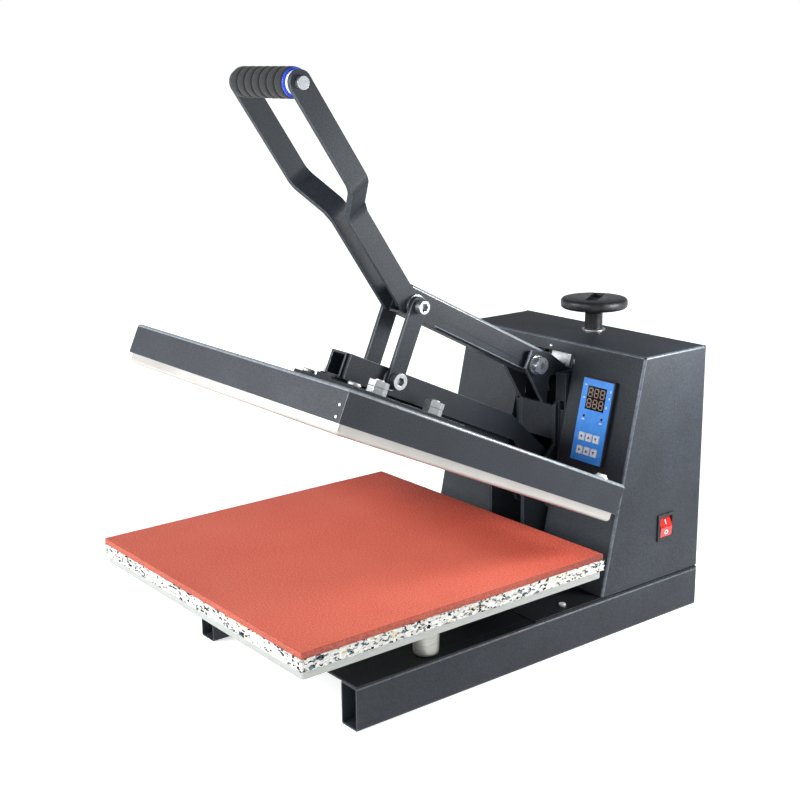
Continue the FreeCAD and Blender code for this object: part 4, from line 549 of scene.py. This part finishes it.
def foam_sheet():
    """The foam under it: four walls of crumbs, each crumb a small swelling, closed above and below."""
    crumb, flatness, groove = 6.5 * MM, 1.6, 1.3
    middle, half = fitted("foam_pad")
    mesh = bmesh.new()
    for turn in range(4):
        wall = Matrix.Rotation(turn * math.pi / 2, 4, "Z") @ Matrix.Translation((0, -half.y, 0))
        fit = Matrix.Rotation(math.pi / 2, 4, "X") @ Matrix.Diagonal((half.x, half.z, 1, 1))
        bmesh.ops.create_grid(mesh, x_segments=280, y_segments=9, size=1,
                              matrix=Matrix.Translation(middle) @ wall @ fit)
    bmesh.ops.remove_doubles(mesh, verts=mesh.verts, dist=0.01 * MM)
    rims = [edge for edge in mesh.edges if edge.is_boundary]
    bmesh.ops.holes_fill(mesh, edges=rims, sides=0)
    bmesh.ops.recalc_face_normals(mesh, faces=mesh.faces)
    for vert in mesh.verts:
        offset = vert.co - middle
        spot = Vector((vert.co.x, vert.co.y, vert.co.z * flatness)) / crumb
        near, following = noise.voronoi(spot)[0][:2]
        sink = groove * max(0.0, 1 - (following - near) * 2.2) + 0.35 * noise.noise(spot * 3)
        for axis in (0, 1):
            if abs(offset[axis]) > 0.999 * half[axis]:
                vert.co[axis] -= math.copysign(max(sink, 0) * MM, offset[axis])
    piece = place_piece(mesh, "foam_crumb_sheet", "frame", CRUMB, angle=70)
    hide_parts("foam_pad")


silicone_sheet()
foam_sheet()


# Grip

def grip_sleeve():
    """The foam sleeve of the grip: seven broad ribs with narrow grooves between them, a little uneven."""
    ribs, outer, bore, end_sink = 7, 15 * MM, 8.3 * MM, 3.1
    rib = [(0.0, 1.9), (0.05, 0.8), (0.12, 0.25), (0.28, 0.02), (0.5, 0.0), (0.72, 0.02), (0.88, 0.25),
           (0.95, 0.8)]
    middle, half = fitted("grip_foam")
    pitch = 2 * half.x / ribs
    profile = [(bore, -half.x)]
    for number in range(ribs):
        for share, sink in rib:
            sink = end_sink if number == share == 0 else sink
            profile.append((outer - sink * MM, -half.x + (number + share) * pitch))
    profile += [(outer - end_sink * MM, half.x), (bore, half.x)]
    mesh = bmesh.new()
    turned(mesh, profile, 64)
    for vert in mesh.verts:
        reached = math.hypot(vert.co.x, vert.co.y)
        if reached > 1.2 * bore:
            sink = (0.12 + 0.12 * noise.noise(vert.co * 160)) * MM
            vert.co -= Vector((vert.co.x, vert.co.y, 0)) / reached * sink
    across = Matrix.Translation(middle) @ Matrix.Rotation(math.pi / 2, 4, "Y")
    bmesh.ops.transform(mesh, verts=mesh.verts, matrix=across)
    piece = place_piece(mesh, "grip_sleeve", "lever", GRIP, angle=60)
    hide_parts("grip_foam")


grip_sleeve()


# Controller: unlit digits on the window, white marks on the face, dark marks on the keys

INK_HEIGHT = Vector((0, 0, 0.06 * MM))


def display_digits():
    """Two rows of three unlit seven-segment digits."""
    width, height, half = 5.6 * MM, 9.2 * MM, 0.62 * MM
    across_pitch, row_pitch, seam, relief = 8.9 * MM, 12.2 * MM, 0.3 * half, 0.1 * MM
    low, high = reach("display_window", SLOPE)
    middle = (low + high) / 2
    levels = high.z, high.z + relief, SLOPE
    mesh = bmesh.new()
    for row in (-0.5, 0.5):
        for column in (-1, 0, 1):
            left = middle.x + column * across_pitch - width / 2
            foot = middle.y - row * row_pitch - height / 2
            for up in (foot, foot + height / 2, foot + height):
                stroke(mesh, (left + seam, up), (left + width - seam, up), half, *levels)
            for across in (left, left + width):
                for up in (foot, foot + height / 2):
                    stroke(mesh, (across, up + seam), (across, up + height / 2 - seam), half, *levels)
    place_piece(mesh, "display_digits", "frame", DIGIT)


def face_marks():
    """The small white marks beside the window and under the lamps: their place across and down from the
    face's upper left corner, then their width and height, in millimetres."""
    marks = [(4.7, 7.5, 2.6, 1.3), (5, 21.9, 2.6, 1.3), (42.3, 9.9, 1.5, 2.8), (42, 17.5, 1.6, 2.4),
             (39.8, 28, 1.6, 2.8), (8.8, 45.9, 4, 1.4), (35.4, 46.7, 4.4, 1.4)]
    low, high = reach("controller_face", SLOPE)
    mesh = bmesh.new()
    for across, down, width, height in marks:
        spot = Vector((low.x + across * MM, high.y - down * MM, high.z))
        size = Vector((width, height, 0)) * MM / 2
        block(mesh, spot - size, spot + size + INK_HEIGHT, SLOPE)
    place_piece(mesh, "face_marks", "frame", INK)


def key_marks():
    """On each key a star, a triangle up or a triangle down, as on the real keys."""
    star = [(radius * math.cos(turn * math.pi / 8), radius * math.sin(turn * math.pi / 8))
            for turn, radius in enumerate((2.1, 1.0) * 8)]
    up = [(-1.9, -1.5), (1.9, -1.5), (0, 1.9)]
    down = [(-1.9, 1.5), (0, -1.9), (1.9, 1.5)]
    for number in range(1, 7):
        low, high = reach(f"key_{number}", SLOPE)
        middle = (low + high) / 2
        shape = (star, up, down)[(number - 1) % 3]
        mesh = bmesh.new()
        corners = [(middle.x + x * MM, middle.y + y * MM) for x, y in shape]
        outline(mesh, corners, high.z, high.z + INK_HEIGHT.z, SLOPE)
        place_piece(mesh, f"key_{number}_mark", f"key_{number}", MARK)


def rocker_marks():
    """On the rocker a line above and a ring below, for on and off."""
    half_height, half_width, ring_bore, depth = 2.8 * MM, 0.6 * MM, 1.9 * MM, 0.08 * MM
    outside = 20 * MM
    low, high = (Vector(corner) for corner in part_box("power_rocker"))
    middle = (low + high) / 2
    for name, share in (("line", 0.26), ("ring", -0.26)):
        spot = Vector((high.x + outside, middle.y, middle.z + share * (high.z - low.z)))
        place = touch("power_rocker", spot, (-1, 0, 0))
        mesh = bmesh.new()
        if name == "line":
            block(mesh, (-half_width, -half_height, 0), (half_width, half_height, depth), place)
        else:
            band = [(ring_bore, 0), (half_height, 0), (half_height, depth), (ring_bore, depth)]
            turned(mesh, band, 32, place)
        place_piece(mesh, f"rocker_{name}", "switch", INK)


display_digits()
face_marks()
key_marks()
rocker_marks()


# Welds and small fittings

def welds():
    """Weld beads: along both sides of the beam on its seat, and up the nose of each bracket cheek."""
    short, off_beam, into_cheek = 6 * MM, 0.4 * MM, 1.2 * MM
    nose_foot, nose_head = (0.1299, 0.2866), (0.1383, 0.3042)
    low, high = reach("mounting_plate", SWING)
    beam_low, beam_high = reach("beam_tube", SWING)
    mesh = bmesh.new()
    for side in (-1, 1):
        edge = side * (beam_high.x + off_beam)
        bead(mesh, (edge, low.y + short, beam_low.z), (edge, high.y - short, beam_low.z), 1.7, SWING)
    place_piece(mesh, "beam_weld", "platen", COAT, angle=60)
    low, high = (Vector(corner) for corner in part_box("pressure_bracket"))
    mesh = bmesh.new()
    for across in (high.x - into_cheek, low.x + into_cheek):
        bead(mesh, (across, *nose_foot), (across, *nose_head), 1.5)
    # The bracket weld takes the pale edge finish: painted highlight.
    place_piece(mesh, "bracket_weld", "bracket", BRIGHT_EDGE[::-1], angle=60)


def small_fittings():
    """A screw in the slope above the slot, and the bush where the heater's lead leaves the cover. Each
    outline is of radius and height in millimetres, from the top of the head to its foot inside the
    sheet."""
    dome = [(0, 1.6), (1.2, 1.4), (2.1, 0.8), (2.4, 0), (1.5, -1.2), (0, -1.2)]
    bush = [(0, 2.2), (2.6, 2.1), (3.6, 3.4), (4.8, 3.4), (5.6, 1.4), (6.9, 0.9), (6.9, -1), (0, -1)]
    above_slot = SLOPE @ Matrix.Translation((2 * MM, 260.6 * MM, 0))
    corner = reach("platen_cover", SWING)[1]
    rear_corner = SWING @ Matrix.Translation((corner.x - 8.2 * MM, corner.y - 31 * MM, corner.z))
    for name, profile, place, steps, body, slot, materials in (
            ("slope_screw", dome, above_slot, 24, "frame", "zinc_steel", ZINC),
            ("cover_lead_bush", bush, rear_corner, 32, "platen", "nylon", NYLON)):
        mesh = bmesh.new()
        turned(mesh, [(radius * MM, height * MM) for radius, height in profile], steps, place)
        place_piece(mesh, name, body, materials)


welds()
small_fittings()


# Camera, floor and light

def camera_set():
    """The camera where the photograph was taken from, with its focal length and its slight roll."""
    camera = bpy.data.objects.new("camera", bpy.data.cameras.new("camera"))
    bpy.context.scene.collection.objects.link(camera)
    camera.data.lens = 60.67
    camera.data.sensor_width = 36
    spot = Vector((1.0988, -0.8964, 0.6285))
    aim = Vector((0.00885, -0.0424, 0.27531))
    roll = Matrix.Rotation(math.radians(-0.63), 4, "Z")
    facing = (aim - spot).to_track_quat("-Z", "Y").to_matrix().to_4x4()
    camera.matrix_world = Matrix.Translation(spot) @ facing @ roll
    bpy.context.scene.camera = camera


def floor_set():
    """A wide sheet of white paper, lit from below as on a light table: less under the press, so that its
    shadow stays, and fully from 1.2 m out."""
    shaded, lit = 0.35, 1.2
    mesh = bmesh.new()
    bmesh.ops.create_circle(mesh, cap_ends=True, segments=64, radius=40)
    data = bpy.data.meshes.new("floor")
    mesh.to_mesh(data)
    mesh.free()
    floor = bpy.data.objects.new("floor", data)
    bpy.context.scene.collection.objects.link(floor)
    paper, tree, shader, spot = finish("paper_white", Roughness=0.95, Specular_IOR_Level=0.1,
                                       Emission_Color="#FFFFFF")
    tint(tree, shader, grain(tree, spot, 900), [(0.3, "#EFEFEF"), (0.7, "#F2F2F2")])
    away = add(tree, "VectorMath", {0: spot}, operation="LENGTH").outputs["Value"]
    glow = add(tree, "MapRange", {"Value": away, "From Min": shaded, "From Max": lit, "To Min": 0.5})
    tree.links.new(glow.outputs["Result"], shader.inputs["Emission Strength"])
    data.materials.append(paper)


def light_set():
    """A white studio: bright round the horizon and dim overhead, with soft lamps in front at the left and
    the right, and a smaller one close to the housing's right side."""
    world = bpy.data.worlds.new("studio")
    bpy.context.scene.world = world
    world.use_nodes = True
    tree = world.node_tree
    level = add(tree, "SeparateXYZ", {"Vector": add(tree, "TexCoord", {}).outputs["Generated"]}).outputs["Z"]
    dome = add(tree, "ValToRGB", {"Fac": level},
               stops=[(0.0, "#FFFFFF"), (0.07, "#FFFFFF"), (0.2, "#94979A"), (1.0, "#5C5F62")])
    tree.links.new(dome.outputs["Color"], tree.nodes["Background"].inputs["Color"])
    # Name, place, aim, size in metres and power in watts
    lamps = (("lamp_front", (-1.1, -2.1, 1.2), (0, 0, 0.25), 1.2, 62),
             ("lamp_side", (0.42, 0.42, 0.42), (0.145, 0.24, 0.3), 0.25, 4.2),
             ("lamp_right", (0.7, -2.4, 1.0), (0, 0, 0.3), 0.9, 26))
    for name, spot, aim, size, power in lamps:
        lamp = bpy.data.lights.new(name, "AREA")
        lamp.shape = "DISK"
        lamp.size = size
        lamp.energy = power
        light = bpy.data.objects.new(name, lamp)
        bpy.context.scene.collection.objects.link(light)
        way = Vector(aim) - Vector(spot)
        light.matrix_world = Matrix.Translation(spot) @ way.to_track_quat("-Z", "Y").to_matrix().to_4x4()


camera_set()
floor_set()
light_set()
bpy.context.scene.view_settings.view_transform = "Standard"
